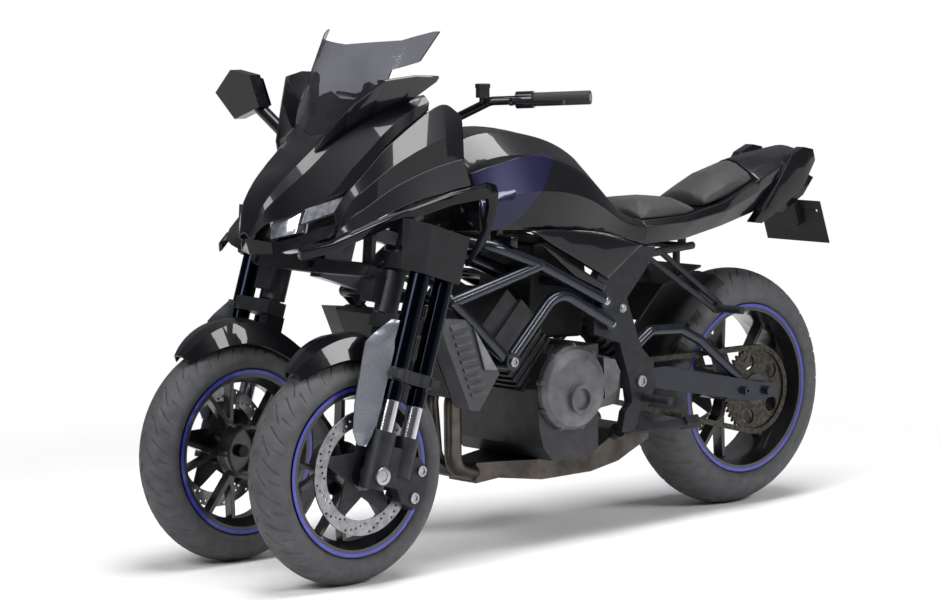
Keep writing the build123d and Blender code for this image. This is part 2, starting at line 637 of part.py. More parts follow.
# Round covers: middle x and z and the side; their shape is a run of (radius, height) points.
COVERS = [(18, 398, 1), (-6, 390, -1)]
COVER_PROFILE = [(0, 0), (108, 0), (108, 16), (98, 30), (72, 38), (0, 38)]
RING_X, RING_Z, RING_OUT_R, RING_IN_R, RING_H = 17.0, 371.0, 36.0, 28.0, 14.0
covers = []
for x, z, side in COVERS:
    points = [(r, side * (CRANKCASE_Y + FIT + h), 0) for r, h in COVER_PROFILE]
    face = make_face(Polyline(*points, close=True))
    covers.append(Pos(x, 0, z) * revolve(face, Axis.Y, 360))
boss_y = CRANKCASE_Y + FIT + COVER_PROFILE[-1][1] - 1
boss = ring_y(RING_X, boss_y, RING_Z, RING_OUT_R, RING_H)
boss = boss - ring_y(RING_X, boss_y + 3, RING_Z, RING_IN_R, RING_H)
covers[0] = covers[0] + boss
DRIVE_COVER = [(-86.3, 470), (-135, 462), (-180, 400), (-170, 340), (-86.3, 330)]
DRIVE_BULGE = [(-90, 466), (-130, 458), (-150, 425), (-140, 380), (-95, 360)]
drive_cover = prism(DRIVE_COVER, CHAIN_Y + 16, PLATE_Y - 4) + prism(DRIVE_BULGE, PLATE_Y - 5, PLATE_Y + 23)
drive_cover = drive_cover + ring_y(DRIVE_X, CHAIN_Y + 12 + FIT, DRIVE_Z, 14, 8)
node("engine_covers", *covers, drive_cover)

# Exhaust: three headers into a flat box under the engine, with an outlet on the right.
PORTS = [-88.0, 0.0, 88.0]
# Box sections: x, right y, left y, low z and top z.
BELLY = [
    (225, -52, 52, 160, 212),
    (165, -70, 70, 170, 212),
    (60, -118, 118, 160, 212),
    (-100, -136, 130, 165, 212),
    (-200, -146, 128, 182, 262),
    (-330, -140, 108, 226, 258),
]
belly = []
for x, right, left, low, top in BELLY:
    belly.append([(x, right, low), (x, left, low), (x, left, top), (x, right, top)])
exhaust = lofted(belly, ruled=True) + rod((-290, -118, 236), (-392, -170, 244), 27)
for y in PORTS:
    header = [(242.3, y, 484), (335, y, 391.3), (318, y * 0.8, 215), (212, y * 0.35, 184)]
    exhaust = exhaust + bent_tube(header, 22, 50)
node("exhaust", exhaust)

# Cooling: a leaning core between two louvred shrouds.
RADIATOR_Y, SHROUD_Y = 165.0, 222.0
CORE = [(500, 604), (464, 616), (376, 420), (408, 405)]
core = prism(CORE, -RADIATOR_Y, RADIATOR_Y)
for y in (-120, 100):
    core = core + prism([(447.6, 634.8), (452, 640), (475, 617), (464, 612)], y, y + 20)
node("radiator", core)
SHROUD = [(500, 612), (400, 602), (378, 564), (298, 461), (365, 374), (395, 380)]
SHROUD_HOLLOW = [(490, 604), (405, 595), (386, 560), (308, 461), (367, 383), (389, 388)]
SHROUD_PAD = [(388, 584), (306, 468), (352, 474)]
shroud = prism(SHROUD, RADIATOR_Y + FIT, SHROUD_Y) - prism(SHROUD_HOLLOW, RADIATOR_Y, SHROUD_Y - PANEL_T)
shroud = shroud + prism(SHROUD_PAD, SHROUD_Y - 1, SHROUD_Y + 6)
LOUVRES = 9
for k in range(LOUVRES):
    x, z = 456 - 8 * k, 588 - 21 * k
    slot = [(x, z), (x - 44, z + 6), (x - 46, z - 3), (x - 2, z - 9)]
    shroud = shroud - prism(slot, SHROUD_Y - 10, SHROUD_Y + 10)
shroud = shroud - rod(low_knot, mount, FRAME_TUBE_R + 5)
node("radiator_shrouds", *pair(shroud))

# Swingarm with its axle, and the shock that it carries.
ARM_OUTLINE = [
    (-198, 372),
    (-198, 418),
    (-346, 418),
    (REAR_AXLE_X + 27, REAR_TYRE_R + 25.5),
    (REAR_AXLE_X - 45, REAR_TYRE_R + 17.5),
    (REAR_AXLE_X - 45, REAR_TYRE_R - 17.5),
    (REAR_AXLE_X + 55, REAR_TYRE_R - 24.5),
    (-310, 364),
]
ARCH_R = 14.0
ARCH = [
    (-222, 410),
    (-240, 474),
    (-300, 514),
    (-410, 510),
    (-480, 478),
    (REAR_AXLE_X + 99, REAR_TYRE_R + 45.5),
]


def arch_tube(radius):
    """The hoop over the left arm, at a radius."""
    return bent_tube([(x, ARM_Y + ARM_T / 2, z) for x, z in ARCH], radius, 30)


BOBBIN_X, BOBBIN_Z = REAR_AXLE_X + 87.0, REAR_TYRE_R + 7.5
arm = prism(ARM_OUTLINE, ARM_Y, ARM_Y + ARM_T)
arm = arm + arch_tube(ARCH_R)
arm = arm + ring_y(BOBBIN_X, ARM_Y + ARM_T - 4, BOBBIN_Z, 11, 18)
arm = arm - ring_y(BOBBIN_X, ARM_Y + ARM_T - 6, BOBBIN_Z, 4, 24)
swingarm = arm + mirror(arm, about=Plane.XZ)
swingarm = swingarm + ring_y(PIVOT_X, -ARM_Y - ARM_T, PIVOT_Z, PIVOT_R, 2 * (ARM_Y + ARM_T))
swingarm = swingarm + prism([(-300, 372), (-300, 410), (-372, 404), (-372, 366)], -ARM_Y - 5, ARM_Y + 5)
axle_y = ARM_Y + ARM_T + 14
swingarm = swingarm + ring_y(REAR_AXLE_X, -axle_y, REAR_TYRE_R, REAR_AXLE_R, 2 * axle_y)
swingarm = swingarm - ring_y(PIVOT_X, -PLATE_Y, PIVOT_Z, 12 + FIT, 2 * PLATE_Y)
node("swingarm", swingarm)

shock_foot = Vector(-330, 0, 413)
shock_head = Vector(SHOCK_X, 0, SHOCK_Z)
shock_way = (shock_head - shock_foot).normalized()
shock_length = (shock_head - shock_foot).length
shock = ring_y(SHOCK_X, -20, SHOCK_Z, 24, 40) + rod(shock_foot + shock_way * 18, shock_head, 20)
shock = shock + Pos(shock_foot.X, 0, shock_foot.Z + 5) * Box(40, 36, 14)
COILS = 7
for k in range(COILS):
    middle = shock_foot + shock_way * (48 + k * (shock_length - 110) / (COILS - 1))
    shock = shock + rod(middle, middle + shock_way * 9, 34)
shock = shock - ring_y(SHOCK_X, -30, SHOCK_Z, 12 + FIT, 60)
node("rear_shock", shock)


# Drive chain: two rows of side plates round both sprockets, joined by pins in the straight runs.
def chain_loop(grow):
    """The loop round both sprockets, moved out by grow, as a face in the chain's plane."""
    circles = []
    for x, z, teeth in ((DRIVE_X, DRIVE_Z, FRONT_TEETH), (REAR_AXLE_X, REAR_TYRE_R, REAR_TEETH)):
        circles.append(Pos(x, z) * Circle(pitch_radius(teeth) + grow))
    return make_hull([edge for circle in circles for edge in circle.edges()])


def drive_chain():
    """The two plate rows and their pins."""
    band = chain_loop(7) - chain_loop(-7)
    upright = Plane(origin=(0, CHAIN_Y, 0), x_dir=(1, 0, 0), z_dir=(0, -1, 0))
    shape = Part()
    for offset in (-8.5, 5.5):
        shape = shape + upright * Pos(0, 0, offset) * extrude(band, 3)
    r_front, r_rear = pitch_radius(FRONT_TEETH), pitch_radius(REAR_TEETH)
    run = hypot(DRIVE_X - REAR_AXLE_X, DRIVE_Z - REAR_TYRE_R)
    rise = degrees(asin((DRIVE_Z - REAR_TYRE_R) / run))
    spread = degrees(asin((r_rear - r_front) / run))
    for side in (1, -1):
        tilt = radians(rise - side * spread)
        normal = Vector(-sin(tilt), 0, cos(tilt)) * side
        way = Vector(cos(tilt), 0, sin(tilt))
        start = Vector(REAR_AXLE_X, 0, REAR_TYRE_R) + normal * r_rear
        for k in range(2, 17):
            at = start + way * (2 * k * CHAIN_PITCH)
            shape = shape + ring_y(at.X, CHAIN_Y - 8, at.Z, 4, 16)
    return shape


node("drive_chain", drive_chain())


def rear_caliper():
    """Caliper on the inner face of the right arm, ahead of the axle."""
    r_in, r_out, y_out = REAR_DISC_R - 42, REAR_DISC_R + 16, -ARM_Y + FIT
    corners = ((r_in, 5), (r_out, 5), (r_out, 42), (r_in, 42))
    wedge = [(r * cos(radians(a)), r * sin(radians(a))) for r, a in corners]
    body = prism(wedge, y_out, -CHAIN_Y + 15)
    return body - ring_y(0, -CHAIN_Y - DISC_T / 2 - 5, 0, REAR_DISC_R + 6, DISC_T + 10)


node("caliper_rear", rear * rear_caliper())

# Subframe under the seat and tail, with footpegs and the folded side stand.
SUBFRAME_R = 10.0
RAIL = [(-215, PLATE_Y - FIT, 708), (-215, 128, 708), (-500, 100, 722)]
rail = bent_tube(RAIL, SUBFRAME_R, 18)
subframe = rail + mirror(rail, about=Plane.XZ)
# Cross tubes under the tail: x, half length, z and the height of the tail's floor there.
for x, y, z, floor in ((-330, 117, 713.6, 738.6), (-480, 102, 721.0, 745.6)):
    subframe = subframe + ring_y(x, -y, z, 9, 2 * y)
    for side in (-80, 80):
        subframe = subframe + Pos(x, side, (z + floor - FIT) / 2) * Box(16, 16, floor - FIT - z)
node("subframe", subframe)

PEG_X, PEG_Y, PEG_Z = -545.0, 150.0, 556.0
peg = ring_y(-228, PLATE_Y + PLATE_T + FIT, 350, 11, 96)
HANGER_R = 8.0
hanger_front, hanger_back = (-285, 139.6, 711.4), (-350, 133.2, 714.6)
pillion_peg = rod(hanger_front, hanger_back, HANGER_R) + ring_y(PEG_X, PEG_Y - 12, PEG_Z, 14, 24)
pillion_peg = pillion_peg + rod(hanger_front, (PEG_X + 5, PEG_Y, PEG_Z - 6), HANGER_R)
pillion_peg = pillion_peg + rod(hanger_back, (PEG_X - 7, PEG_Y, PEG_Z + 10), HANGER_R)
pillion_peg = pillion_peg + ring_y(PEG_X, PEG_Y, PEG_Z, 10, 90)
node("footpegs", *pair(peg), *pair(pillion_peg))

stand = Cylinder(20, 20) + Pos(STAND_LENGTH / 2, 0, 0) * Box(STAND_LENGTH, 22, 14)
stand = stand + Pos(STAND_LENGTH, 0, 0) * Box(50, 24, 34)
stand = stand - Cylinder(9 + FIT, 60)
node("side_stand", STAND * stand)

# Bodywork: half sections at x, each a run of (y, z) points from the top middle to the bottom middle.
TANK = [
    (318, [(0, 1022), (70, 1016), (128, 960), (170, 880), (178, 812), (0, 800)]),
    (174, [(0, 1057), (86, 1046), (150, 990), (186, 900), (182, 806), (0, 790)]),
    (20, [(0, 1032), (92, 1018), (154, 965), (182, 890), (174, 796), (0, 780)]),
    (-110, [(0, 970), (80, 950), (136, 905), (158, 850), (148, 782), (0, 770)]),
    (-210, [(0, 872), (62, 860), (110, 836), (134, 806), (130, 762), (0, 754)]),
    (-292, [(0, 806), (70, 806), (118, 804), (136, 786), (128, 738), (0, 738)]),
]
tank = lofted([across(x, half) for x, half in TANK])
foot = prism([(240, 796), (262, 796), (262, 774.6), (240, 766.6)], 150, 226)
foot = foot + prism([(240, 840), (262, 840), (262, 780), (240, 780)], 140, 172)
tank = tank + foot + mirror(foot, about=Plane.XZ)
node("fuel_tank", tank)

SEAT = [
    (-297, [(0, 826), (62, 826), (104, 813), (112, 801.5), (70, 800.5), (0, 800.5)]),
    (-333, [(0, 850), (66, 849), (112, 824), (118, 803.5), (70, 800.5), (0, 800.5)]),
    (-450, [(0, 850), (66, 849), (112, 828), (118, 806), (70, 800.5), (0, 800.5)]),
    (-500, [(0, 832), (62, 832), (104, 822), (110, 813.5), (70, 809.3), (0, 809.3)]),
]
node("seat", lofted([across(x, half) for x, half in SEAT], ruled=True))
PILLION = [
    (-556, [(0, 858), (40, 853), (84, 838), (90, 824), (70, 819), (0, 819)]),
    (-640, [(0, 905), (38, 900), (88, 872), (94, 846), (70, 842.8), (0, 842.2)]),
    (-739.6, [(0, 935), (30, 929), (78, 903), (92, 884.5), (70, 882.6), (0, 880.6)]),
]
node("pillion_seat", lofted([across(x, half) for x, half in PILLION], ruled=True))
# Tail: a low pan that carries both seats, then the closed tail behind them.
PAN = [
    (-292.4, [(0, 800), (70, 800), (118, 800), (136, 786), (128, 738), (0, 738)]),
    (-450, [(0, 800), (70, 800), (130, 806), (138, 790), (116, 742), (0, 742)]),
    (-600, [(0, 826), (70, 826), (124, 832), (126, 808), (108, 768), (0, 768)]),
    (-740, [(0, 880), (70, 882), (114, 884), (112, 852), (90, 796), (0, 796)]),
]
TAIL = [
    (-740, [(0, 936), (30, 930), (78, 904), (114, 884), (112, 852), (90, 796), (0, 796)]),
    (-830, [(0, 952), (28, 948), (74, 934), (104, 914), (98, 884), (72, 822), (0, 822)]),
    (-950, [(0, 966), (22, 964), (56, 957), (84, 948), (74, 930), (46, 890), (0, 890)]),
]
# Blades at the tail's end: inner y, outer y and side outline.
BLADES = [
    (
        80,
        110,
        [
            (-727, 770),
            (-765, 808),
            (-824, 880),
            (-873, 945),
            (-922, 965),
            (-958, 958),
            (-967, 927),
            (-923, 861),
            (-825, 798),
            (-756, 766),
        ],
    ),
    (
        42,
        56,
        [
            (-840, 845),
            (-900, 868),
            (-950, 893),
            (-1003, 883),
            (-1019, 876),
            (-979, 830),
            (-899, 786),
            (-835, 790),
        ],
    ),
]
tail = lofted([across(x, half) for x, half in PAN], ruled=True)
tail = tail + lofted([across(x, half) for x, half in TAIL], ruled=True)
for y_in, y_out, outline in BLADES:
    blade = prism(outline, y_in, y_out)
    tail = tail + blade + mirror(blade, about=Plane.XZ)
node("tail_fairing", tail)


def bevelled(outline, y_in, y_out, bevel):
    """A left plate with a bevelled outer edge, from its side outline."""
    middle_x = sum(x for x, _ in outline) / len(outline)
    middle_z = sum(z for _, z in outline) / len(outline)
    inner = [(x, y_in, z) for x, z in outline]
    outer = [(x + (middle_x - x) * bevel, y_out, z + (middle_z - z) * bevel) for x, z in outline]
    return lofted([inner, outer], ruled=True)


# Tank panels follow the tank's own side, a little proud of it.
TANK_PANEL_T, TANK_PANEL_GAP = 6.0, 0.4
TANK_PANEL = [
    (316, 950),
    (277, 962),
    (175, 984),
    (80, 992),
    (58, 976),
    (111, 915),
    (195, 839),
    (270, 802),
    (312, 799),
]
tank_skin = lofted([across(x, half) for x, half in TANK])
tank_panel = prism(TANK_PANEL, 90, 260) & (Pos(0, TANK_PANEL_GAP + TANK_PANEL_T, 0) * tank_skin)
tank_panel = tank_panel - tank - Pos(0, TANK_PANEL_GAP, 0) * tank_skin
node("tank_panels", *pair(tank_panel))
SIDE_LEAF = [(178, 805), (136, 807), (67, 803), (-80, 782), (-226, 745), (-98, 662), (7, 715), (110, 766)]
SIDE_STRIP = [(150, 776), (76, 740), (-94, 648), (-84, 632), (24, 680)]
leaf = bevelled(SIDE_LEAF, PLATE_Y + PLATE_T + 0.4, 206, 0.1)
strip = bevelled(SIDE_STRIP, PLATE_Y + PLATE_T + 0.4, 202, 0.08)
node("side_covers", *pair(leaf), *pair(strip))


def inset(points, depth):
    """An open run of (y, z) points moved to its right by depth, with mitred corners."""
    moved = []
    for k, (y, z) in enumerate(points):
        before = points[max(k - 1, 0)]
        after = points[min(k + 1, len(points) - 1)]
        normals = []
        for (y0, z0), (y1, z1) in ((before, (y, z)), ((y, z), after)):
            length = hypot(y1 - y0, z1 - z0)
            if length > 0:
                normals.append(((z1 - z0) / length, -(y1 - y0) / length))
        ny = sum(n[0] for n in normals) / len(normals)
        nz = sum(n[1] for n in normals) / len(normals)
        share = depth / (ny * ny + nz * nz)
        moved.append((y + ny * share, z + nz * share))
    return moved


def shell(stations, ruled=True, depth=PANEL_T):
    """A skin through open runs of (y, z) points, one run at each x."""
    sections = []
    for x, points in stations:
        loop = points + inset(points, depth)[::-1]
        sections.append([(x, y, z) for y, z in loop])
    return lofted(sections, ruled)


def whole(half):
    """A run across the vehicle, from right to left, of a left half run that starts at the middle."""
    return [(-y, z) for y, z in reversed(half) if y > 0] + half


# Cowl: left half runs of (y, z) points at each x: middle, crease, foot of the crease, hood edge and lip.
NOSE = [
    (912, [(0, 833), (12, 829), (15, 826), (20, 820), (21, 818)]),
    (886, [(0, 896), (36, 892), (43, 882), (49, 858), (50, 855)]),
    (850, [(0, 954), (48, 940), (64, 922), (78, 870), (79, 867)]),
    (800, [(0, 990), (57, 985), (80, 964), (117, 898), (118, 895)]),
    (762, [(0, 1018), (61, 1016), (86, 995), (140, 920), (141, 917)]),
    (707, [(0, 1052), (70, 1060), (96, 1043), (156, 980), (172, 940)]),
    (660, [(0, 1060), (94, 1088), (118, 1075), (168, 1026), (180, 990)]),
    (624, [(0, 1062), (114, 1108), (136, 1097), (176, 1062), (184, 1036)]),
    (560, [(0, 1064), (150, 1138), (163, 1131), (190, 1110), (192, 1086)]),
    (500, [(0, 1066), (176, 1150), (184, 1145), (196, 1133), (193, 1116)]),
]
NOSE_FLOOR, WING_REACH = 700.0, 320.0
SEAT_GAP = 0.4
node("nose_cowl", shell([(x, whole(half)) for x, half in NOSE]))
filled = []
for x, half in NOSE:
    run = whole([(y, z + SEAT_GAP) for y, z in half])
    run = run + [(run[-1][0], NOSE_FLOOR), (run[0][0], NOSE_FLOOR)]
    filled.append([(x, y, z) for y, z in run])
# All that stands on the hood is cut to its surface by this block.
under_hood = lofted(filled, ruled=True)
# Side cowl runs: blade top, blade edge, recess, foot on the band.
SIDE_COWL = [
    (778, [(176, 882), (190, 846), (195, 840), (207, 835)]),
    (740, [(176, 925), (195, 908), (199, 872), (214, 842)]),
    (707, [(182, 956), (199, 931), (202, 888), (219, 854)]),
    (634, [(191, 1024), (207, 978), (208, 928), (230, 882)]),
    (560, [(197, 1076), (213, 1014), (214, 958), (237, 905)]),
    (500, [(201, 1112), (216, 1036), (217, 976), (241, 916)]),
    (455, [(206, 1126), (218, 1046), (219, 986), (244, 925)]),
    (412, [(214, 1098), (219, 1056), (222, 994), (247, 931)]),
]
# Band: inner foot y, top z and low z at each x; it stands out by the band depth.
BAND_DEPTH = 15.0
BAND = [
    (866, 146, 800, 772),
    (809, 192, 818, 789),
    (763, 207, 835.5, 808),
    (650, 226, 875, 846),
    (473, 241, 919.5, 888),
    (366, 247, 935.5, 898),
]
WING = [
    (752, [(66, 1010), (74, 1040)]),
    (690, [(84, 1050), (130, 1130)]),
    (632, [(116, 1090), (186, 1190)]),
    (560, [(152, 1120), (216, 1200)]),
    (500, [(220, 1186), (230, 1197)]),
]
FIN = [
    (700, [(38, 1036), (44, 1076)]),
    (660, [(58, 1050), (78, 1128)]),
    (612, [(92, 1080), (108, 1186)]),
]


def run_skin(stations, depth=PANEL_T):
    """A left skin whose runs are listed from the top edge down and out."""
    return shell([(x, points[::-1]) for x, points in stations], True, -depth)


def rising_skin(stations, depth):
    """A left blade whose runs are listed from its root up to its free edge."""
    return shell(stations, True, depth)


side_skin = run_skin(SIDE_COWL)
node("side_cowls", *pair(side_skin))
band_sections = []
for x, y, top, low in BAND:
    lip = BAND_DEPTH
    section = [(y + 1, top), (y + lip, top - 7), (y + lip - 2, low), (y + 1, low + 5)]
    band_sections.append([(x, across_y, z) for across_y, z in section])
band = lofted(band_sections, ruled=True)
HOOK_OUTER = [(367, 937), (342, 930), (333, 908), (342, 862), (366, 800), (433, 737)]
HOOK = HOOK_OUTER + [(378, 821), (364, 878), (367, 900)]
band = band + prism(HOOK, 247, 260)
band = band - side_skin - Pos(0, 0, -SEAT_GAP) * side_skin
node("fairing_bands", *pair(band))
# Chin under the lamps: side outlines at each y.
CHIN = [
    (0, [(910, 818), (896, 778), (856, 776), (872, 806)]),
    (60, [(872, 808), (874, 782), (836, 778), (842, 803)]),
    (110, [(846, 822), (866, 792), (826, 786), (818, 822)]),
    (150, [(800, 846), (852, 803), (816, 794), (776, 846)]),
    (188, [(778.5, 856), (812, 824), (792, 814), (778.5, 838)]),
]
# Dark housing behind the lenses: side outlines at each y.
HOUSING = [
    (45, [(841.6, 856), (843.4, 815), (856, 800), (790, 800), (800, 856)]),
    (106, [(790.6, 886), (806, 830), (824, 820), (750, 820), (745, 886)]),
    (162, [(716.6, 916), (737.6, 872), (760, 850), (690, 850), (680, 916)]),
    (172, [(714, 904), (744, 862), (756, 846), (700, 846), (690, 904)]),
]
chin_left = lofted([[(x, y, z) for x, z in outline] for y, outline in CHIN], ruled=True)
chin_left = chin_left + lofted([[(x, y, z) for x, z in outline] for y, outline in HOUSING], ruled=True)
node("chin", chin_left + mirror(chin_left, about=Plane.XZ))

# Windscreen: a raked sheet between two level arcs, each by its middle x, side x and side y.
SCREEN_T = 4.5
SCREEN_FOOT, SCREEN_HEAD = (710.6, 666.7, 154.5), (584, 478, 210)
SCREEN_FOOT_Z, SCREEN_HEAD_Z = 1040.0, 1302.0


def screen_section(arc, z):
    """A closed level section of the screen."""
    middle, side, half = arc
    outer = ThreePointArc((side, -half, z), (middle, 0, z), (side, half, z))
    inner = ThreePointArc((side - SCREEN_T, -half, z), (middle - SCREEN_T, 0, z), (side - SCREEN_T, half, z))
    ends = [Line(outer @ 0, inner @ 0), Line(outer @ 1, inner @ 1)]
    return make_face([outer, inner, *ends])


screen_ends = [screen_section(SCREEN_FOOT, SCREEN_FOOT_Z), screen_section(SCREEN_HEAD, SCREEN_HEAD_Z)]
screen = loft(screen_ends, ruled=True)
# Concave top edge between the two tips, then the hollow at each side above the wing, as points.
CREST = [(-300, 1400), (-212, 1306), (-150, 1281), (0, 1270), (150, 1281), (212, 1306), (300, 1400)]
crest = make_face(Polyline(*[(900, y, z) for y, z in CREST], close=True))
screen = screen - extrude(crest, amount=700, dir=(-1, 0, 0))
SCREEN_SIDE = [(440, 1320), (523, 1232), (605, 1201), (690, 1110), (720, 1000), (440, 1000)]
for y_from, y_to in ((150, 300), (-300, -150)):
    screen = screen - prism(SCREEN_SIDE, y_from, y_to)
screen = screen - under_hood
# The wings pass outside the screen, which ends just above them; the fins stand behind it.
below_wing = []
for x, ((root_y, root_z), (edge_y, edge_z)) in WING:
    root = (root_y - SEAT_GAP, root_z + SEAT_GAP)
    edge = (edge_y - SEAT_GAP, edge_z + SEAT_GAP)
    outline = [root, edge, (WING_REACH, edge[1]), (WING_REACH, NOSE_FLOOR), (root[0], NOSE_FLOOR)]
    below_wing.append([(x, y, z) for y, z in outline])
for side in pair(lofted(below_wing, ruled=True)):
    screen = screen - side
ahead = []
for arc, z in ((SCREEN_FOOT, SCREEN_FOOT_Z - 1), (SCREEN_HEAD, SCREEN_HEAD_Z)):
    middle, side, half = arc
    back = SCREEN_T + 2 * SEAT_GAP
    curve = ThreePointArc((side - back, -half, z), (middle - back, 0, z), (side - back, half, z))
    front = Polyline(curve @ 1, (900, half, z), (900, -half, z), curve @ 0)
    ahead.append(make_face([curve, front]))
fin = rising_skin(FIN, 4) - under_hood - loft(ahead, ruled=True)
node("cowl_wings", *pair(rising_skin(WING, 6) - under_hood), *pair(fin))
node("windscreen", screen)
INSTRUMENT = [(564, 1050), (612, 1050), (608, 1092), (560, 1136), (548, 1128)]
node("instrument", prism(INSTRUMENT, -75, 75) - under_hood)


LENS_T = 24.0
LENSES = [
    [(45, (866, 852), (868, 816)), (102, (820, 880), (836, 831))],
    [(110, (812, 888), (826, 853)), (162, (742, 914), (762, 882))],
]
lenses = []
for ends in LENSES:
    sections = []
    for y, top, low in ends:
        outline = [top, low, (low[0] - LENS_T, low[1]), (top[0] - LENS_T, top[1])]
        sections.append([(x, y, z) for x, z in outline])
    lenses.append(lofted(sections, ruled=True))
node("headlamps", *[side for lens in lenses for side in pair(lens)])

# Right-hand mirror: head as a block of (y, z) corners on a stalk.
MIRROR_HEAD = [(-346, 1203), (-269, 1192), (-231, 1114), (-330, 1081), (-408, 1145)]
mirror_front = make_face(Polyline(*[(650, y, z) for y, z in MIRROR_HEAD], close=True))
mirror_head = extrude(mirror_front, amount=34, dir=(1, 0, 0))
node("mirror", mirror_head + (rod((650, -166, 1046), (664, -285, 1130), 16) - under_hood))

# Tail end: lamp, number plate on its hanger, and the mudguard over the rear tyre.
node("tail_lamp", prism([(-950.4, 954), (-950.4, 902), (-958, 906), (-964, 948)], -38, 38))
hanger = prism([(-832, 822.7), (-945, 886.8), (-968, 860), (-1000, 744), (-990, 740), (-948, 838)], -25, 25)
number_plate = prism([(-982, 814), (-978.6, 815), (-1019, 697), (-1022.4, 698)], -115, 115)
plate_way = Vector(-115, 0, 38).normalized()
PLATE_HOLE_Y, PLATE_HOLE_R = 95.0, 3.5
for y in (-PLATE_HOLE_Y, PLATE_HOLE_Y):
    hole_at = Vector(-988, y, 787)
    number_plate = number_plate - rod(hole_at - plate_way * 12, hole_at + plate_way * 12, PLATE_HOLE_R)
hanger = hanger + prism([(-963, 806), (-979.4, 811), (-1000, 751), (-984, 746)], -34, 34)
node("plate_hanger", hanger, number_plate)


def rear_mudguard():
    """Arched guard close over the front of the rear tyre."""
    sections = []
    for angle, rise, half in ((20, 15.5, 80), (45, 17.5, 86), (72, 15.5, 84)):
        profile = []
        for share, drop in ((-1, 30), (-0.6, 8), (0, 0), (0.6, 8), (1, 30)):
            profile.append((half * share * 1.12, REAR_TYRE_R + rise - drop))
        profile += [(y * 0.96, r - 3.5) for y, r in reversed(profile)]
        a = radians(angle)
        sections.append([(r * cos(a), y, r * sin(a)) for y, r in profile])
    return lofted(sections)


guard_leg = rod((-441, 150, 526), (-441, 80, 452), 7) - arch_tube(ARCH_R + FIT)
hugger = rear * rear_mudguard() + guard_leg + mirror(guard_leg, about=Plane.XZ)
# Splash sheet behind the shock, hung from the subframe.
SPLASH = [(-318, 535), (-400, 618), (-545, 660), (-545, 666), (-402, 624), (-313, 539)]
splash = prism(SPLASH, -88, 88)
for y in (-60, 60):
    splash = splash + Pos(-480, y, 675) * Box(14, 14, 73.4)
node("rear_mudguard", hugger, splash)

# Covers round the fork tops, in the fork frame.
# Each section: height up the legs, then how far the front of the cover reaches beyond its foot's.
COVER_SECTIONS = [(484.0, 0.0), (600.0, 30.0)]
cover_sections = []
for z, reach in COVER_SECTIONS:
    outline = [
        (-100, 137.5),
        (14 + reach * 0.5, 137.5),
        (46 + reach, 112),
        (46 + reach, 88),
        (38 + reach, 88),
        (38 + reach, 109),
        (11 + reach * 0.5, LEG_Y + OUTER_TUBE_R + 0.4),
        (-100, LEG_Y + OUTER_TUBE_R + 0.4),
    ]
    cover_sections.append([(x, y, z) for x, y in outline])
left_right("fork_cover", FORK * lofted(cover_sections, ruled=True))


os.makedirs("parts", exist_ok=True)
for name, shape in NODES.items():
    export_step(shape, f"parts/{name}.step")
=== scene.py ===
"""Looks of a leaning reverse trike: finishes, tyres, discs, padded seats, cowl skins, trim and bolts."""

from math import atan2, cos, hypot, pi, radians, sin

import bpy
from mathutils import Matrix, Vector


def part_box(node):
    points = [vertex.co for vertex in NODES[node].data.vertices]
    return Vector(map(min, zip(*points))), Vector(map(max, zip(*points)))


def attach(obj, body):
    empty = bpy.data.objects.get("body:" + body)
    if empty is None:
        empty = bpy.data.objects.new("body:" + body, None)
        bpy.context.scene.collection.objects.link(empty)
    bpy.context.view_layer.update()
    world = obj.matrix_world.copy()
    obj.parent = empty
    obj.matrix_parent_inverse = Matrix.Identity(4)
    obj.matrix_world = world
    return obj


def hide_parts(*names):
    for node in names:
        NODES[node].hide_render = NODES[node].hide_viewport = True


bl_info = {
    "name": "Reverse trike finish",
    "version": (1, 0, 0),
    "blender": (4, 5, 0),
    "location": "3D View > Sidebar > Trike",
    "description": "Finishes, tyres, discs, seats and hardware of a leaning reverse trike",
    "category": "Object",
}

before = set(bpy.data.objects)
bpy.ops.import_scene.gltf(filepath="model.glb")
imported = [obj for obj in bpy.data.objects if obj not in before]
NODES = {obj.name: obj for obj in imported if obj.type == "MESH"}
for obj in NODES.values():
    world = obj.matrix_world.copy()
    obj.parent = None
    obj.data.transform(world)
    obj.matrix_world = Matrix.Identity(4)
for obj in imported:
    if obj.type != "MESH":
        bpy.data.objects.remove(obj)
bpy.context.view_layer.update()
MM = 0.001

# The photograph's camera: a long lens from the front left. Degrees, metres, and millimetres for the lens.
CAMERA_AZIMUTH, CAMERA_ELEVATION, CAMERA_ROLL = 48.424, 5.948, -0.221
CAMERA_TARGET = Vector((0.1970, 0.0, 0.6191))
CAMERA_DISTANCE = 8.0991
SENSOR_WIDTH = 36.0
FOCAL_LENGTH = 122.92

# Fork frame: axle point, rake, and the height up the legs at which the chromed sliders end in a thin edge.
FORK_X, FORK_Y, FORK_Z = 0.783, 0.215, 0.2745
RAKE = radians(17.5)
SLIDER_TOP, SEAL_EDGE = 178.0 * MM, 0.5 * MM


def linear(hex_colour):
    """Linear RGB from an sRGB hex colour."""
    channels = [int(hex_colour[k : k + 2], 16) / 255 for k in (1, 3, 5)]
    return tuple(c / 12.92 if c <= 0.04045 else ((c + 0.055) / 1.055) ** 2.4 for c in channels)


def opaque(tone):
    """A colour with full alpha for a colour socket, from a hex value or a linear colour."""
    return (*(linear(tone) if isinstance(tone, str) else tone[:3]), 1.0)


def middle(node):
    """Middle of a node's box, in metres."""
    low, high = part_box(node)
    return (low + high) / 2


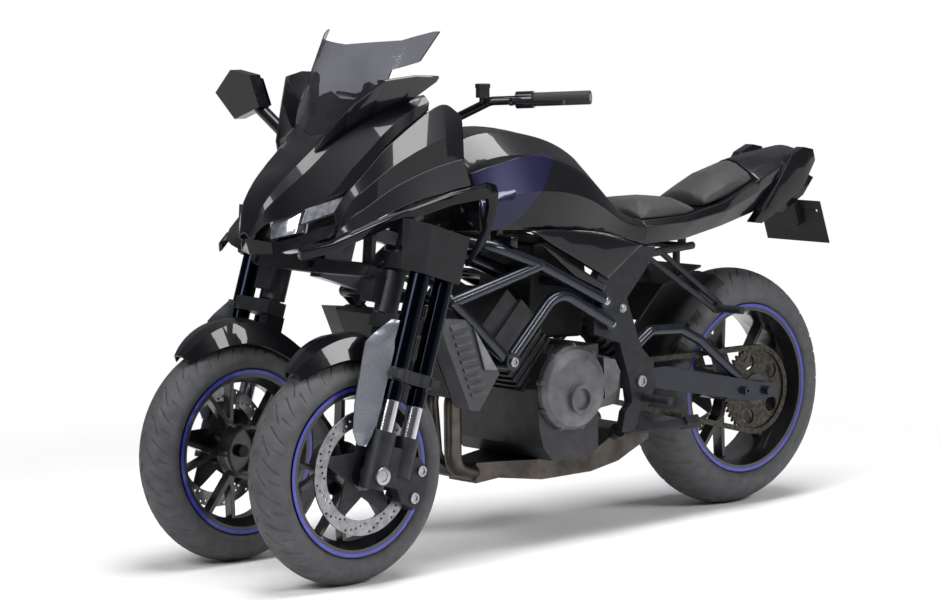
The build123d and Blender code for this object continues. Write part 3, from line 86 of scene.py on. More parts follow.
class TrikeColours(bpy.types.PropertyGroup):
    """Colours that an owner would choose."""

    lacquer: bpy.props.FloatVectorProperty(
        name="Lacquer", description="Flake under the clear coat", subtype="COLOR", default=linear("#0A0A12")
    )
    panel: bpy.props.FloatVectorProperty(
        name="Panel", description="Blue of the tank panels", subtype="COLOR", default=linear("#0D0D40")
    )
    rim_stripe: bpy.props.FloatVectorProperty(
        name="Rim stripe",
        description="Blue-violet ring on the rims",
        subtype="COLOR",
        default=linear("#34379B"),
    )
    seat: bpy.props.FloatVectorProperty(
        name="Seat", description="Seat cover", subtype="COLOR", default=linear("#161617")
    )
    floor: bpy.props.FloatVectorProperty(
        name="Floor", description="Studio floor", subtype="COLOR", default=linear("#F6F6F6")
    )


class TrikeSizes(bpy.types.PropertyGroup):
    """Sizes of the details that are added to the model."""

    groove_width: bpy.props.FloatProperty(
        name="Groove width", description="Tread groove", subtype="DISTANCE", unit="LENGTH", default=6.0 * MM
    )
    groove_depth: bpy.props.FloatProperty(
        name="Groove depth", description="Tread groove", subtype="DISTANCE", unit="LENGTH", default=3.5 * MM
    )
    stripe_width: bpy.props.FloatProperty(
        name="Stripe width",
        description="Coloured rim ring",
        subtype="DISTANCE",
        unit="LENGTH",
        default=9.0 * MM,
    )
    drill_radius: bpy.props.FloatProperty(
        name="Drilling radius", description="Disc hole", subtype="DISTANCE", unit="LENGTH", default=3.2 * MM
    )
    edge_radius: bpy.props.FloatProperty(
        name="Edge radius",
        description="Rounding of hard edges",
        subtype="DISTANCE",
        unit="LENGTH",
        default=1.6 * MM,
    )


# Materials. Every pattern's scale comes from a real size in millimetres.
NOISE_DETAIL = 3.0
# Where the two tones of a colour stand on its pattern's 0 to 1 value.
TONE_PLACES = (0.3, 0.7)


def per_metre(size_mm):
    """Texture scale at which one cell is about this size."""
    return 1000.0 / size_mm


def add(tree, kind, settings=None, links=None):
    """One node, with its settings by socket or property name and its links by socket name or number."""
    made = tree.nodes.new(kind)
    for name, value in (settings or {}).items():
        if name in made.inputs:
            made.inputs[name].default_value = value
        else:
            setattr(made, name, value)
    for name, socket in (links or {}).items():
        tree.links.new(socket, made.inputs[name])
    return made


def shade(colour, factor):
    """A darker or lighter step of a linear colour."""
    return tuple(min(1.0, c * factor) for c in colour[:3])


def surface(name, settings, colour, rough=None, relief=None):
    """A material whose colour, roughness and relief each vary over a pattern.

    A pattern is the size of noise cells in millimetres, a pair of that size and the noise's detail, or a
    function that draws another one. After its pattern, colour has two tones, rough its lowest and highest
    roughness, and relief a depth in millimetres and a strength.
    """
    made = bpy.data.materials.new(name)
    made.use_nodes = True
    tree = made.node_tree
    tree.nodes.clear()
    shader = add(tree, "ShaderNodeBsdfPrincipled", settings)
    add(tree, "ShaderNodeOutputMaterial", links={"Surface": shader.outputs["BSDF"]})
    where = add(tree, "ShaderNodeTexCoord").outputs["Object"]

    def drawn(pattern):
        if callable(pattern):
            return pattern(tree, where)
        size_mm, detail = pattern if isinstance(pattern, tuple) else (pattern, NOISE_DETAIL)
        cells = {"Scale": per_metre(size_mm), "Detail": detail}
        return add(tree, "ShaderNodeTexNoise", cells, {"Vector": where}).outputs["Fac"]

    pattern, *tones = colour
    ramp = add(tree, "ShaderNodeValToRGB", links={"Fac": drawn(pattern)})
    for element, place, tone in zip(ramp.color_ramp.elements, TONE_PLACES, tones):
        element.position, element.color = place, opaque(tone)
    tree.links.new(ramp.outputs["Color"], shader.inputs["Base Color"])
    if rough:
        pattern, low, high = rough
        spread = add(tree, "ShaderNodeMapRange", {"To Min": low, "To Max": high}, {"Value": drawn(pattern)})
        tree.links.new(spread.outputs["Result"], shader.inputs["Roughness"])
    if relief:
        pattern, depth_mm, strength = relief
        shape = {"Strength": strength, "Distance": depth_mm * MM}
        bump = add(tree, "ShaderNodeBump", shape, {"Height": drawn(pattern)})
        tree.links.new(bump.outputs["Normal"], shader.inputs["Normal"])
    return made


def night_lacquer(colours):
    """Sprayed automotive lacquer: fine violet flake under a deep clear coat, black until light strikes it."""
    return surface(
        "night_lacquer",
        {
            "Metallic": 0.15,
            "Specular IOR Level": 0.2,
            "Coat Weight": 0.7,
            "Coat IOR": 1.42,
            "Coat Roughness": 0.02,
        },
        colour=((1.4, 1.0), shade(colours.lacquer, 0.3), colours.lacquer),
        rough=(60.0, 0.28, 0.4),
    )


def blue_lacquer(colours):
    """The same lacquer over a saturated blue base, which glows at the tank's shoulders."""
    return surface(
        "blue_lacquer",
        {"Metallic": 0.5, "Coat Weight": 0.7, "Coat IOR": 1.42, "Coat Roughness": 0.02},
        colour=((1.4, 1.0), shade(colours.panel, 0.45), colours.panel),
        rough=(60.0, 0.24, 0.36),
    )


def moulded_black(colours):
    """Injection-moulded ABS with a spark-eroded grain: dull black with a broad soft sheen."""
    grain = (2.2, 2.0)
    return surface(
        "moulded_black",
        {"Specular IOR Level": 0.25},
        colour=(45.0, "#141416", "#1E1E21"),
        rough=(grain, 0.42, 0.58),
        relief=(grain, 0.12, 0.5),
    )


def gloss_black(colours):
    """Polished black polycarbonate: a clean mirror over black."""
    return surface(
        "gloss_black",
        {"Specular IOR Level": 0.2, "Coat Weight": 0.3, "Coat IOR": 1.42, "Coat Roughness": 0.03},
        colour=(30.0, "#0A0A0C", "#121217"),
        rough=(25.0, 0.08, 0.16),
    )


def slate_plastic(colours):
    """Mid-grey moulded nylon of the shrouds and louvres, with a fine texture that dulls it."""
    grain = (1.8, 2.0)
    return surface(
        "slate_plastic",
        {"IOR": 1.53},
        colour=(40.0, "#2F3033", "#3E3F43"),
        rough=(grain, 0.42, 0.6),
        relief=(grain, 0.1, 0.5),
    )


def pale_plate(colours):
    """Silver-painted pressing beside the louvres, lighter than what is round it."""
    return surface(
        "pale_plate",
        {"Metallic": 0.4, "Specular IOR Level": 0.3},
        colour=(20.0, "#6A6B6E", "#808185"),
        rough=(8.0, 0.36, 0.5),
    )


def pebbles(tree, where):
    """Rounded cells of embossed vinyl."""
    cells = {"Scale": per_metre(2.6), "feature": "SMOOTH_F1"}
    return add(tree, "ShaderNodeTexVoronoi", cells, {"Vector": where}).outputs["Distance"]


def seat_vinyl(colours):
    """Embossed vinyl over foam: matte black with a pebbled grain."""
    return surface(
        "seat_vinyl",
        {"IOR": 1.5, "Sheen Weight": 0.15},
        colour=(35.0, shade(colours.seat, 0.6), shade(colours.seat, 1.2)),
        rough=(20.0, 0.52, 0.7),
        relief=(pebbles, 0.25, 0.55),
    )


def tyre_rubber(colours):
    """Cured rubber with mould dust: dark grey, lighter where the light grazes it."""
    return surface(
        "tyre_rubber",
        {"IOR": 1.5},
        colour=(30.0, "#3A3A3C", "#4A4A4C"),
        rough=(18.0, 0.62, 0.8),
        relief=(1.6, 0.12, 0.5),
    )


def grip_rubber(colours):
    """Soft moulded rubber, black and nearly without shine."""
    return surface(
        "grip_rubber",
        {"Roughness": 0.75, "IOR": 1.5},
        colour=(12.0, "#121212", "#1D1D1E"),
        relief=(1.5, 0.2, 0.6),
    )


def wheel_enamel(colours):
    """Baked black enamel on a cast wheel, smooth with a slight orange peel."""
    return surface(
        "wheel_enamel",
        {"IOR": 1.5, "Coat Weight": 0.5, "Coat Roughness": 0.08},
        colour=(25.0, "#0A0A0C", "#141418"),
        rough=(15.0, 0.24, 0.36),
        relief=((3.0, 1.0), 0.05, 0.3),
    )


def stripe_enamel(colours):
    """Blue-violet enamel ring on the rim's edge, bright against the black wheel."""
    return surface(
        "stripe_enamel",
        {"Metallic": 0.2, "Roughness": 0.3, "Coat Weight": 0.6, "Coat Roughness": 0.05},
        colour=(20.0, shade(colours.rim_stripe, 0.75), shade(colours.rim_stripe, 1.2)),
    )


def brushed_disc(colours):
    """Ground stainless steel: a fine tooth that spreads the light into a soft sheen."""
    return surface(
        "brushed_disc",
        {"Metallic": 1.0},
        colour=(18.0, "#77767A", "#9C9B9E"),
        rough=(6.0, 0.26, 0.42),
        relief=(1.2, 0.04, 0.4),
    )


def slider(tree, where):
    """1 on a fork leg's chromed slider, below its seal, and 0 above it, on either side."""
    from_axle = add(tree, "ShaderNodeVectorMath", {"operation": "SUBTRACT"}, {0: where})
    from_axle.inputs[1].default_value = (FORK_X, 0.0, FORK_Z)
    up = add(tree, "ShaderNodeVectorMath", {"operation": "DOT_PRODUCT"}, {0: from_axle.outputs["Vector"]})
    up.inputs[1].default_value = (-sin(RAKE), 0.0, cos(RAKE))
    edge = {"From Min": SLIDER_TOP + SEAL_EDGE, "From Max": SLIDER_TOP}
    return add(tree, "ShaderNodeMapRange", edge, {"Value": up.outputs["Value"]}).outputs["Result"]


def fork_tube(colours):
    """Hard-anodised outer tube, blue-black and turned smooth, over a ground and chromed slider."""
    return surface(
        "fork_tube",
        {"Metallic": 1.0, "Coat Roughness": 0.04},
        colour=(slider, "#161922", "#B9BABD"),
        rough=(9.0, 0.1, 0.2),
    )


def dark_casting(colours):
    """Sand-cast aluminium painted dark grey: a soft pitted skin."""
    pits = 2.4
    return surface(
        "dark_casting",
        {"Metallic": 0.45},
        colour=(28.0, "#1B1C1F", "#2A2B30"),
        rough=(pits, 0.4, 0.56),
        relief=(pits, 0.14, 0.5),
    )


def engine_casting(colours):
    """Die-cast engine cases in charcoal paint, satin with a fine tooth."""
    pits = 2.0
    return surface(
        "engine_casting",
        {"Metallic": 0.5},
        colour=(35.0, "#2C2C2E", "#3B3B3E"),
        rough=(pits, 0.36, 0.54),
        relief=(pits, 0.12, 0.5),
    )


def cover_casting(colours):
    """The lighter grey of the die-cast generator and clutch covers."""
    pits = 2.0
    return surface(
        "cover_casting",
        {"Metallic": 0.5},
        colour=(35.0, "#525254", "#68686B"),
        rough=(pits, 0.34, 0.5),
        relief=(pits, 0.1, 0.5),
    )


def frame_enamel(colours):
    """Powder coat on steel tube: blue-grey, semi-gloss, with a light orange peel."""
    return surface(
        "frame_enamel",
        {"Metallic": 0.5, "Coat Weight": 0.4, "Coat Roughness": 0.1},
        colour=(40.0, "#10141E", "#1A202E"),
        rough=(12.0, 0.24, 0.36),
        relief=((3.5, 1.0), 0.06, 0.3),
    )


def header_steel(colours):
    """Stainless exhaust steel browned by heat, in broad cloudy patches."""
    return surface(
        "header_steel",
        {"Metallic": 1.0},
        colour=(55.0, "#3A3735", "#5E5852"),
        rough=(10.0, 0.26, 0.44),
    )


def guard_silver(colours):
    """Silver-grey lacquer on the fork blades: metallic flake under clear coat."""
    return surface(
        "guard_silver",
        {"Metallic": 0.7, "Coat Weight": 0.7, "Coat Roughness": 0.06},
        colour=((1.6, 1.0), "#5A5C64", "#7E818A"),
        rough=(30.0, 0.3, 0.42),
    )


def chain_steel(colours):
    """Oiled chain and sprocket steel, dark with worn bright plates."""
    return surface(
        "chain_steel",
        {"Metallic": 1.0},
        colour=(9.0, "#2E2C29", "#57534C"),
        rough=(5.0, 0.28, 0.5),
    )


def bolt_steel(colours):
    """Zinc-plated fasteners, pale and a little dull."""
    return surface("bolt_steel", {"Metallic": 1.0, "Roughness": 0.3}, colour=(4.0, "#8F9094", "#B4B5B8"))


def smoked_acrylic(colours):
    """Smoke-tinted acrylic sheet, clear enough to see through."""
    return surface(
        "smoked_acrylic",
        {"Roughness": 0.02, "IOR": 1.15, "Transmission Weight": 0.92},
        colour=(120.0, "#6A6A72", "#7A7A82"),
    )


def clear_lens(colours):
    """Clear polycarbonate over a bright reflector: its silver tone, mottled in patches as a painted
    reflection of the facets behind it.
    """
    return surface(
        "clear_lens",
        {"Metallic": 0.6, "Roughness": 0.12, "Coat Weight": 1.0, "Coat Roughness": 0.02},
        # The mottle between the two silver tones is painted reflection, standing in for the reflector's
        # facets.
        colour=(14.0, "#6F7178", "#A9ABB2"),
    )


def red_lens(colours):
    """Deep red moulded lens of the tail lamp."""
    return surface(
        "red_lens",
        {"Roughness": 0.12, "IOR": 1.58, "Coat Weight": 1.0, "Coat Roughness": 0.02},
        colour=(8.0, "#35060A", "#5A0A12"),
    )


def fins(tree, where):
    """Cooling fins as bands about 10 mm apart, because real ones are too fine for the picture to show."""
    bands = {"Scale": per_metre(5.0) / 6.28, "bands_direction": "Y", "wave_profile": "TRI"}
    return add(tree, "ShaderNodeTexWave", bands, {"Vector": where}).outputs["Fac"]


def radiator_fins(colours):
    """Black-coated aluminium fins: dull edges, with the slots between them painted dark as painted shade."""
    return surface(
        "radiator_fins",
        {"Metallic": 0.4, "Roughness": 0.5},
        # The darker of the two tones, on the slots between the fin edges, is painted shade.
        colour=(fins, "#0C0C0D", "#222225"),
        relief=(fins, 1.0, 0.8),
    )


def silvered_glass(colours):
    """Mirror glass: silver behind a clear sheet."""
    return surface(
        "silvered_glass", {"Metallic": 1.0, "Roughness": 0.02}, colour=(60.0, "#9EA1A8", "#B4B7BE")
    )


MATERIALS = {}


def finish(make):
    """The one material that a finish function makes."""
    if make.__name__ not in MATERIALS:
        MATERIALS[make.__name__] = make(bpy.context.scene.trike_colours)
    return MATERIALS[make.__name__]


def on_fork(side, x, y, z):
    """Vehicle point in metres of a fork point in millimetres, on the left (1) or right (-1) side."""
    forward, upward = Vector((cos(RAKE), 0, sin(RAKE))), Vector((-sin(RAKE), 0, cos(RAKE)))
    axle = Vector((FORK_X, side * FORK_Y, FORK_Z))
    return axle + (forward * x + upward * z + Vector((0, side * y, 0))) * MM


def both(*names):
    """Left and right node names."""
    return [f"{name}_{side}" for name in names for side in ("left", "right")]


FINISHES = [
    (night_lacquer, ["nose_cowl", "cowl_wings", "side_cowls", "fuel_tank", "side_covers", "tail_fairing"]),
    (night_lacquer, both("fender_front")),
    (gloss_black, ["fairing_bands", "instrument", "mirror", "chin"]),
    (blue_lacquer, ["tank_panels"]),
    (frame_enamel, ["frame", "swingarm"]),
    (dark_casting, ["pivot_plates", "subframe", "lean_linkage", "footpegs", "side_stand", "steering_link"]),
    (dark_casting, both("fork_castings", "caliper_front") + ["caliper_rear", "rear_shock"]),
    (gloss_black, ["handlebar", "hand_controls"]),
    (grip_rubber, ["grips"]),
    (engine_casting, ["engine_block"]),
    (cover_casting, ["engine_covers"]),
    (radiator_fins, ["radiator"]),
    (slate_plastic, ["radiator_shrouds"]),
    (header_steel, ["exhaust"]),
    (moulded_black, ["rear_mudguard", "plate_hanger"] + both("fork_cover")),
    (fork_tube, both("fork_legs")),
    (guard_silver, both("fork_guard")),
    (wheel_enamel, both("wheel_front") + ["wheel_rear"]),
    (brushed_disc, both("disc_front") + ["disc_rear"]),
    (chain_steel, ["drive_chain", "sprocket_rear"]),
    (tyre_rubber, both("tyre_front") + ["tyre_rear"]),
    (seat_vinyl, ["seat", "pillion_seat"]),
    (smoked_acrylic, ["windscreen"]),
    (clear_lens, ["headlamps"]),
    (red_lens, ["tail_lamp"]),
]

# Nodes with softer edges than their finish gives.
NODE_EDGE_SCALE = {"mirror": 6.0, "fork_cover_left": 4.0, "fork_cover_right": 4.0, "engine_covers": 2.0}
# Angles over which an edge stays sharp: on shaded nodes, and on the pieces that are added.
SMOOTH_LIMIT, PIECE_LIMIT = radians(40), radians(35)
# Nodes' own edges: gap over which corners join, and the angle from which an edge is rounded.
NODE_JOIN, NODE_ANGLE = 0.01 * MM, radians(24)
# Pieces whose panels sweep without flats, so their shading runs on across the sections.
SWEPT = ("nose_cowl", "side_cowls", "fairing_bands", "fuel_tank", "tail_fairing", "side_covers", "cowl_wings")
# Edge radius of a finish against the usual one; the rest have 1.
EDGE_SCALE = {
    "night_lacquer": 1.6,
    "blue_lacquer": 0.6,
    "tyre_rubber": 0.0,
    "brushed_disc": 0.0,
    "chain_steel": 0.3,
    "radiator_fins": 0.5,
    "seat_vinyl": 0.0,
    "smoked_acrylic": 0.4,
}


# Mesh makers.
def new_piece(name, vertices, faces, make, body, slot, smooth=True):
    """A mesh piece in the vehicle's frame that rides on a body."""
    mesh = bpy.data.meshes.new(name)
    mesh.from_pydata(vertices, [], faces)
    mesh.update()
    piece = bpy.data.objects.new(name, mesh)
    bpy.context.scene.collection.objects.link(piece)
    mesh.materials.append(finish(make))
    if smooth:
        mesh.shade_smooth()
        mesh.set_sharp_from_angle(angle=PIECE_LIMIT)
    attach(piece, body)
    return piece


def ring_faces(turns, count):
    """Faces between the copies of a closed profile of count points, all the way round."""
    faces = []
    for k in range(turns):
        ahead = (k + 1) % turns
        for j in range(count):
            beside = (j + 1) % count
            faces.append((k * count + j, ahead * count + j, ahead * count + beside, k * count + beside))
    return faces


def prism_faces(count):
    """Faces of a prism whose two ends have count corners each."""
    faces = [tuple(range(count)), tuple(range(2 * count - 1, count - 1, -1))]
    return faces + [(k, k + count, (k + 1) % count + count, (k + 1) % count) for k in range(count)]


def turned(profile, at, axis, turns):
    """Vertices and faces of a closed profile of (height, radius) points turned about an axis, in metres."""
    frame_turn = Vector(axis).to_track_quat("Z", "X").to_matrix()
    vertices = []
    for k in range(turns):
        a = 2 * pi * k / turns
        for height, radius in profile:
            vertices.append(at + frame_turn @ Vector((radius * cos(a), radius * sin(a), height)))
    return vertices, ring_faces(turns, len(profile))


def merged(parts):
    """One list of vertices and faces from several."""
    vertices, faces = [], []
    for more, loops in parts:
        offset = len(vertices)
        vertices += more
        faces += [tuple(k + offset for k in loop) for loop in loops]
    return vertices, faces


def arc_points(first, through, last, steps):
    """Points along the arc through three (y, r) points, the last one left out."""
    (ax, ay), (bx, by), (cx, cy) = first, through, last
    d = 2 * (ax * (by - cy) + bx * (cy - ay) + cx * (ay - by))
    ux = ((ax**2 + ay**2) * (by - cy) + (bx**2 + by**2) * (cy - ay) + (cx**2 + cy**2) * (ay - by)) / d
    uy = ((ax**2 + ay**2) * (cx - bx) + (bx**2 + by**2) * (ax - cx) + (cx**2 + cy**2) * (bx - ax)) / d
    radius = hypot(ax - ux, ay - uy)
    start_a, mid_a, end_a = (atan2(y - uy, x - ux) for x, y in (first, through, last))
    span, half = (end_a - start_a) % (2 * pi), (mid_a - start_a) % (2 * pi)
    if half > span:
        span -= 2 * pi
    return [
        (ux + radius * cos(start_a + span * k / steps), uy + radius * sin(start_a + span * k / steps))
        for k in range(steps)
    ]


def smooth_by_angle():
    """The node group that shades across edges flatter than the limit and keeps the rest sharp."""
    name = "smooth_by_angle"
    if name in bpy.data.node_groups:
        return bpy.data.node_groups[name]
    group = bpy.data.node_groups.new(name, "GeometryNodeTree")
    group.interface.new_socket("Mesh", in_out="INPUT", socket_type="NodeSocketGeometry")
    group.interface.new_socket("Mesh", in_out="OUTPUT", socket_type="NodeSocketGeometry")
    inlet = add(group, "NodeGroupInput").outputs["Mesh"]
    angle = add(group, "GeometryNodeInputMeshEdgeAngle").outputs["Unsigned Angle"]
    sharp = add(group, "FunctionNodeCompare", {"operation": "GREATER_THAN", "B": SMOOTH_LIMIT}, {"A": angle})
    shaded = add(
        group,
        "GeometryNodeSetMeshNormal",
        {"mode": "SHARPNESS", "Remove Custom": True},
        {"Mesh": inlet, "Edge Sharpness": sharp.outputs["Result"]},
    )
    add(group, "NodeGroupOutput", links={"Mesh": shaded.outputs["Mesh"]})
    return group


def round_edges(piece, radius, join, angle, flat_faces=True):
    """Rounds the edges sharper than an angle, as moulds, castings and sheet metal have them."""
    piece.modifiers.new("joined", "WELD").merge_threshold = join
    rounded = piece.modifiers.new("rounded", "BEVEL")
    rounded.width, rounded.segments = radius, 2
    rounded.limit_method, rounded.angle_limit = "ANGLE", angle
    piece.modifiers.new("smooth", "NODES").node_group = smooth_by_angle()
    if flat_faces:
        piece.modifiers.new("flat_faces", "WEIGHTED_NORMAL").keep_sharp = True


class TRIKE_OT_finishes(bpy.types.Operator):
    """Gives every carried-over node its material and rounded edges"""

    bl_idname = "trike.finishes"
    bl_label = "Finish the model's own pieces"

    def execute(self, context):
        usual = context.scene.trike_sizes.edge_radius
        for make, names in FINISHES:
            for name in names:
                piece = NODES[name]
                piece.data.materials.clear()
                piece.data.materials.append(finish(make))
                radius = usual * NODE_EDGE_SCALE.get(name, EDGE_SCALE.get(make.__name__, 1.0))
                if radius:
                    round_edges(piece, radius, NODE_JOIN, NODE_ANGLE, flat_faces=piece.name not in SWEPT)
        return {"FINISHED"}


# Wheels: name, body, bead seat radius, rim and tyre width in millimetres, tread repeats.
WHEELS = [
    ("front_left", "front_wheel_left", 190.5, 90.0, 120.0, 22),
    ("front_right", "front_wheel_right", 190.5, 90.0, 120.0, 22),
    ("rear", "rear_wheel", 215.9, 152.0, 190.0, 24),
]
# Tyre section: flange over the bead, gap to the rim, and shoulder and crown as shares of the width.
FLANGE, BEAD_GAP = 14 * MM, 0.3 * MM
SHOULDER_SHARE, CROWN_SHARE = 0.485, 0.32
# Steps round the tyre, over its crown and up each wall, the wall steps that stand out as ribs, and how far.
TYRE_TURNS, CROWN_STEPS, WALL_STEPS = 880, 46, 9
RIB_STEPS, RIB_SWELL = (3, 6), 1.008
# Tread grooves on each half: where they start and end between the crown and the shoulder, lean and shift.
GROOVES = [(0.05, 0.6, 1.1, 0.0), (0.34, 0.94, 0.8, 0.5), (0.62, 0.97, 0.5, 0.12)]
# Width of a groove's sloping side, and the share of the crown over which its ends run out.
GROOVE_SLOPE, GROOVE_TAPER = 1.2 * MM, 0.04


class TRIKE_OT_tyres(bpy.types.Operator):
    """Moulds the tyres with grooved treads and ribbed side walls"""

    bl_idname = "trike.tyres"
    bl_label = "Mould the tyres"

    def execute(self, context):
        for name, body, *section, repeats in WHEELS:
            self.mould(context.scene.trike_sizes, name, body, [size * MM for size in section], repeats)
        return {"FINISHED"}

    def mould(self, sizes, name, body, section, repeats):
        """One tyre on the same section as its solid."""
        low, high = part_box(f"tyre_{name}")
        centre, outer = (low + high) / 2, (high.z - low.z) / 2
        bead_r, rim_w, width = section
        bead, wall, shoulder = rim_w / 2, width / 2, width * SHOULDER_SHARE
        flange, crown_foot = bead_r + FLANGE, outer - width * CROWN_SHARE
        middle_r, seat_r = (flange + crown_foot) / 2, bead_r + BEAD_GAP
        profile = arc_points((bead, flange), (wall, middle_r), (shoulder, crown_foot), WALL_STEPS)
        profile += arc_points((shoulder, crown_foot), (0, outer), (-shoulder, crown_foot), CROWN_STEPS)
        profile += arc_points((-shoulder, crown_foot), (-wall, middle_r), (-bead, flange), WALL_STEPS)
        profile += [(-bead, flange), (-bead, seat_r), (bead, seat_r)]
        crown_end = WALL_STEPS + CROWN_STEPS
        ribs = [first + step for first in (0, crown_end) for step in RIB_STEPS]
        pitch = 2 * pi * outer / repeats
        vertices = []
        for k in range(TYRE_TURNS):
            a = 2 * pi * k / TYRE_TURNS
            for j, (y, r) in enumerate(profile):
                if WALL_STEPS < j < crown_end:
                    r -= self.groove(sizes, k / TYRE_TURNS * repeats, y / shoulder, pitch)
                if j in ribs:
                    y *= RIB_SWELL
                vertices.append((centre.x + r * cos(a), centre.y + y, centre.z + r * sin(a)))
        faces = ring_faces(TYRE_TURNS, len(profile))
        piece = new_piece(f"moulded_tyre_{name}", vertices, faces, tyre_rubber, body, "tyre")
        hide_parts(f"tyre_{name}")

    def groove(self, sizes, turn, across, pitch):
        """Depth of the tread groove at a place on the crown."""
        share = abs(across)
        half = 0.0 if across > 0 else 0.5
        depth = 0.0
        for first, last, lean, shift in GROOVES:
            if first < share < last:
                gap = abs((turn + half + shift + lean * share) % 1.0 - 0.5) * pitch
                edge = min(1.0, max(0.0, (sizes.groove_width / 2 - gap) / GROOVE_SLOPE + 0.5))
                taper = min(1.0, (share - first) / GROOVE_TAPER, (last - share) / GROOVE_TAPER)
                depth = max(depth, sizes.groove_depth * edge * taper)
        return depth


# Rim stripe: its face past the rim's half width, its edge past the bead, how far it stands out and slopes.
STRIPE_FACE, STRIPE_EDGE = 7 * MM, 12 * MM
STRIPE_OUT, STRIPE_SLOPE = 0.5 * MM, 0.4 * MM
STRIPE_TURNS = 160


class TRIKE_OT_rims(bpy.types.Operator):
    """Paints the coloured ring on both edges of each rim"""

    bl_idname = "trike.rims"
    bl_label = "Paint the rim stripes"

    def execute(self, context):
        width = context.scene.trike_sizes.stripe_width
        for name, body, bead_r, rim_w, *_ in WHEELS:
            face, lip = rim_w / 2 * MM + STRIPE_FACE, bead_r * MM + STRIPE_EDGE
            rings = []
            for side in (1, -1):
                profile = [
                    (side * face, lip - width),
                    (side * (face + STRIPE_OUT), lip - width + STRIPE_SLOPE),
                    (side * (face + STRIPE_OUT), lip - STRIPE_SLOPE),
                    (side * face, lip),
                ]
                rings.append(turned(profile, middle(f"tyre_{name}"), (0, 1, 0), STRIPE_TURNS))
            new_piece(f"rim_stripe_{name}", *merged(rings), stripe_enamel, body, "wheel_paint")
        return {"FINISHED"}


# Discs: node, body, outer radius, band width and hub radius in millimetres.
DISCS = [
    ("disc_front_left", "front_wheel_left", 149.0, 36.0, 42.3),
    ("disc_front_right", "front_wheel_right", 149.0, 36.0, 42.3),
    ("disc_rear", "rear_wheel", 141.0, 36.0, 42.3),
]


# Drillings: how many, in how many rows, the first row over the band's inner edge and the step between rows.
HOLES, HOLE_ROWS, HOLE_FIRST, HOLE_STEP = 60, 5, 7, 5.6
# Carrier: arms, the first one's angle, waist radius, and feet and tips of arms from the band's inner edge.
ARMS, ARM_ANGLE, WAIST_R, ARM_FOOT, ARM_TIP = 5, radians(20), 57, -6, 3
# The same places as shares of the turn from one arm to the next.
WAIST_TURN, FOOT_TURN, TIP_TURN = 0.42, 0.1, 0.07
CARRIER_THICK = 0.9
# Corners of the circles, and the rounding of a plate's edge.
OUTER_STEPS, INNER_STEPS, HOLE_STEPS, HUB_STEPS = 140, 110, 12, 48
PLATE_EDGE = 0.5 * MM


class TRIKE_OT_discs(bpy.types.Operator):
    """Cuts the drilled brake bands and their scalloped carriers"""

    bl_idname = "trike.discs"
    bl_label = "Cut the brake discs"

    def execute(self, context):
        drill = context.scene.trike_sizes.drill_radius
        for node, body, outer, band, hub in DISCS:
            low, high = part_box(node)
            at, thick, inner = (low + high) / 2, high.y - low.y, outer - band
            rings = [self.circle(0, 0, outer * MM, OUTER_STEPS), self.circle(0, 0, inner * MM, INNER_STEPS)]
            for k in range(HOLES):
                a, r = 2 * pi * k / HOLES, (inner + HOLE_FIRST + HOLE_STEP * (k % HOLE_ROWS)) * MM
                rings.append(self.circle(r * cos(a), r * sin(a), drill, HOLE_STEPS))
            plate = self.cut(f"{node}_band", rings, thick, at, brushed_disc, body, "disc_steel")
            rings = [self.star(inner), self.circle(0, 0, hub * MM, HUB_STEPS)]
            flat = thick * CARRIER_THICK
            carrier = self.cut(f"{node}_carrier", rings, flat, at, dark_casting, body, "black_metal")
            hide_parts(node)
            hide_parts(node)
        return {"FINISHED"}

    def star(self, inner):
        """The carrier's outline, with its arms' tips under the band."""
        foot, tip = inner + ARM_FOOT, inner + ARM_TIP
        arm = [(-WAIST_TURN, WAIST_R), (-FOOT_TURN, foot), (-TIP_TURN, tip)]
        arm += [(TIP_TURN, tip), (FOOT_TURN, foot)]
        loop = []
        for k in range(ARMS):
            for step, r in arm:
                a = 2 * pi * (k + step) / ARMS + ARM_ANGLE
                loop.append((r * MM * cos(a), r * MM * sin(a)))
        return loop

    def circle(self, x, z, radius, steps):
        """A closed loop of (x, z) points."""
        angles = [2 * pi * k / steps for k in range(steps)]
        return [(x + radius * cos(a), z + radius * sin(a)) for a in angles]

    def cut(self, name, loops, thick, at, make, body, slot):
        """A flat plate across y with its first loop as the edge and the others as holes."""
        drawn = bpy.data.curves.new(name, "CURVE")
        drawn.dimensions, drawn.fill_mode = "2D", "BOTH"
        drawn.extrude = thick / 2 - PLATE_EDGE
        drawn.bevel_depth = PLATE_EDGE
        drawn.bevel_resolution = 1
        drawn.offset = -PLATE_EDGE
        for loop in loops:
            spline = drawn.splines.new("POLY")
            spline.points.add(len(loop) - 1)
            for point, (x, z) in zip(spline.points, loop):
                point.co = (x, z, 0, 1)
            spline.use_cyclic_u = True
        holder = bpy.data.objects.new(name, drawn)
        bpy.context.scene.collection.objects.link(holder)
        solid = bpy.data.meshes.new_from_object(holder.evaluated_get(bpy.context.evaluated_depsgraph_get()))
        bpy.data.objects.remove(holder)
        solid.transform(Matrix.Translation(at) @ Matrix.Rotation(radians(90), 4, "X"))
        vertices = [tuple(v.co) for v in solid.vertices]
        faces = [tuple(f.vertices) for f in solid.polygons]
        return new_piece(name, vertices, faces, make, body, slot, smooth=False)


# Seats: node, how far the foam may swell in millimetres, and how full the cover is.
SEATS = [("seat", 7.0, 0.55), ("pillion_seat", 6.0, 0.6)]
# Cover: grid of its mesh, slope from which the underside is held, foam pressure and frames.
COVER_GRID, HELD_SLOPE, FOAM_PRESSURE, FOAM_FRAMES = 5.0 * MM, -0.2, 4.0, 20


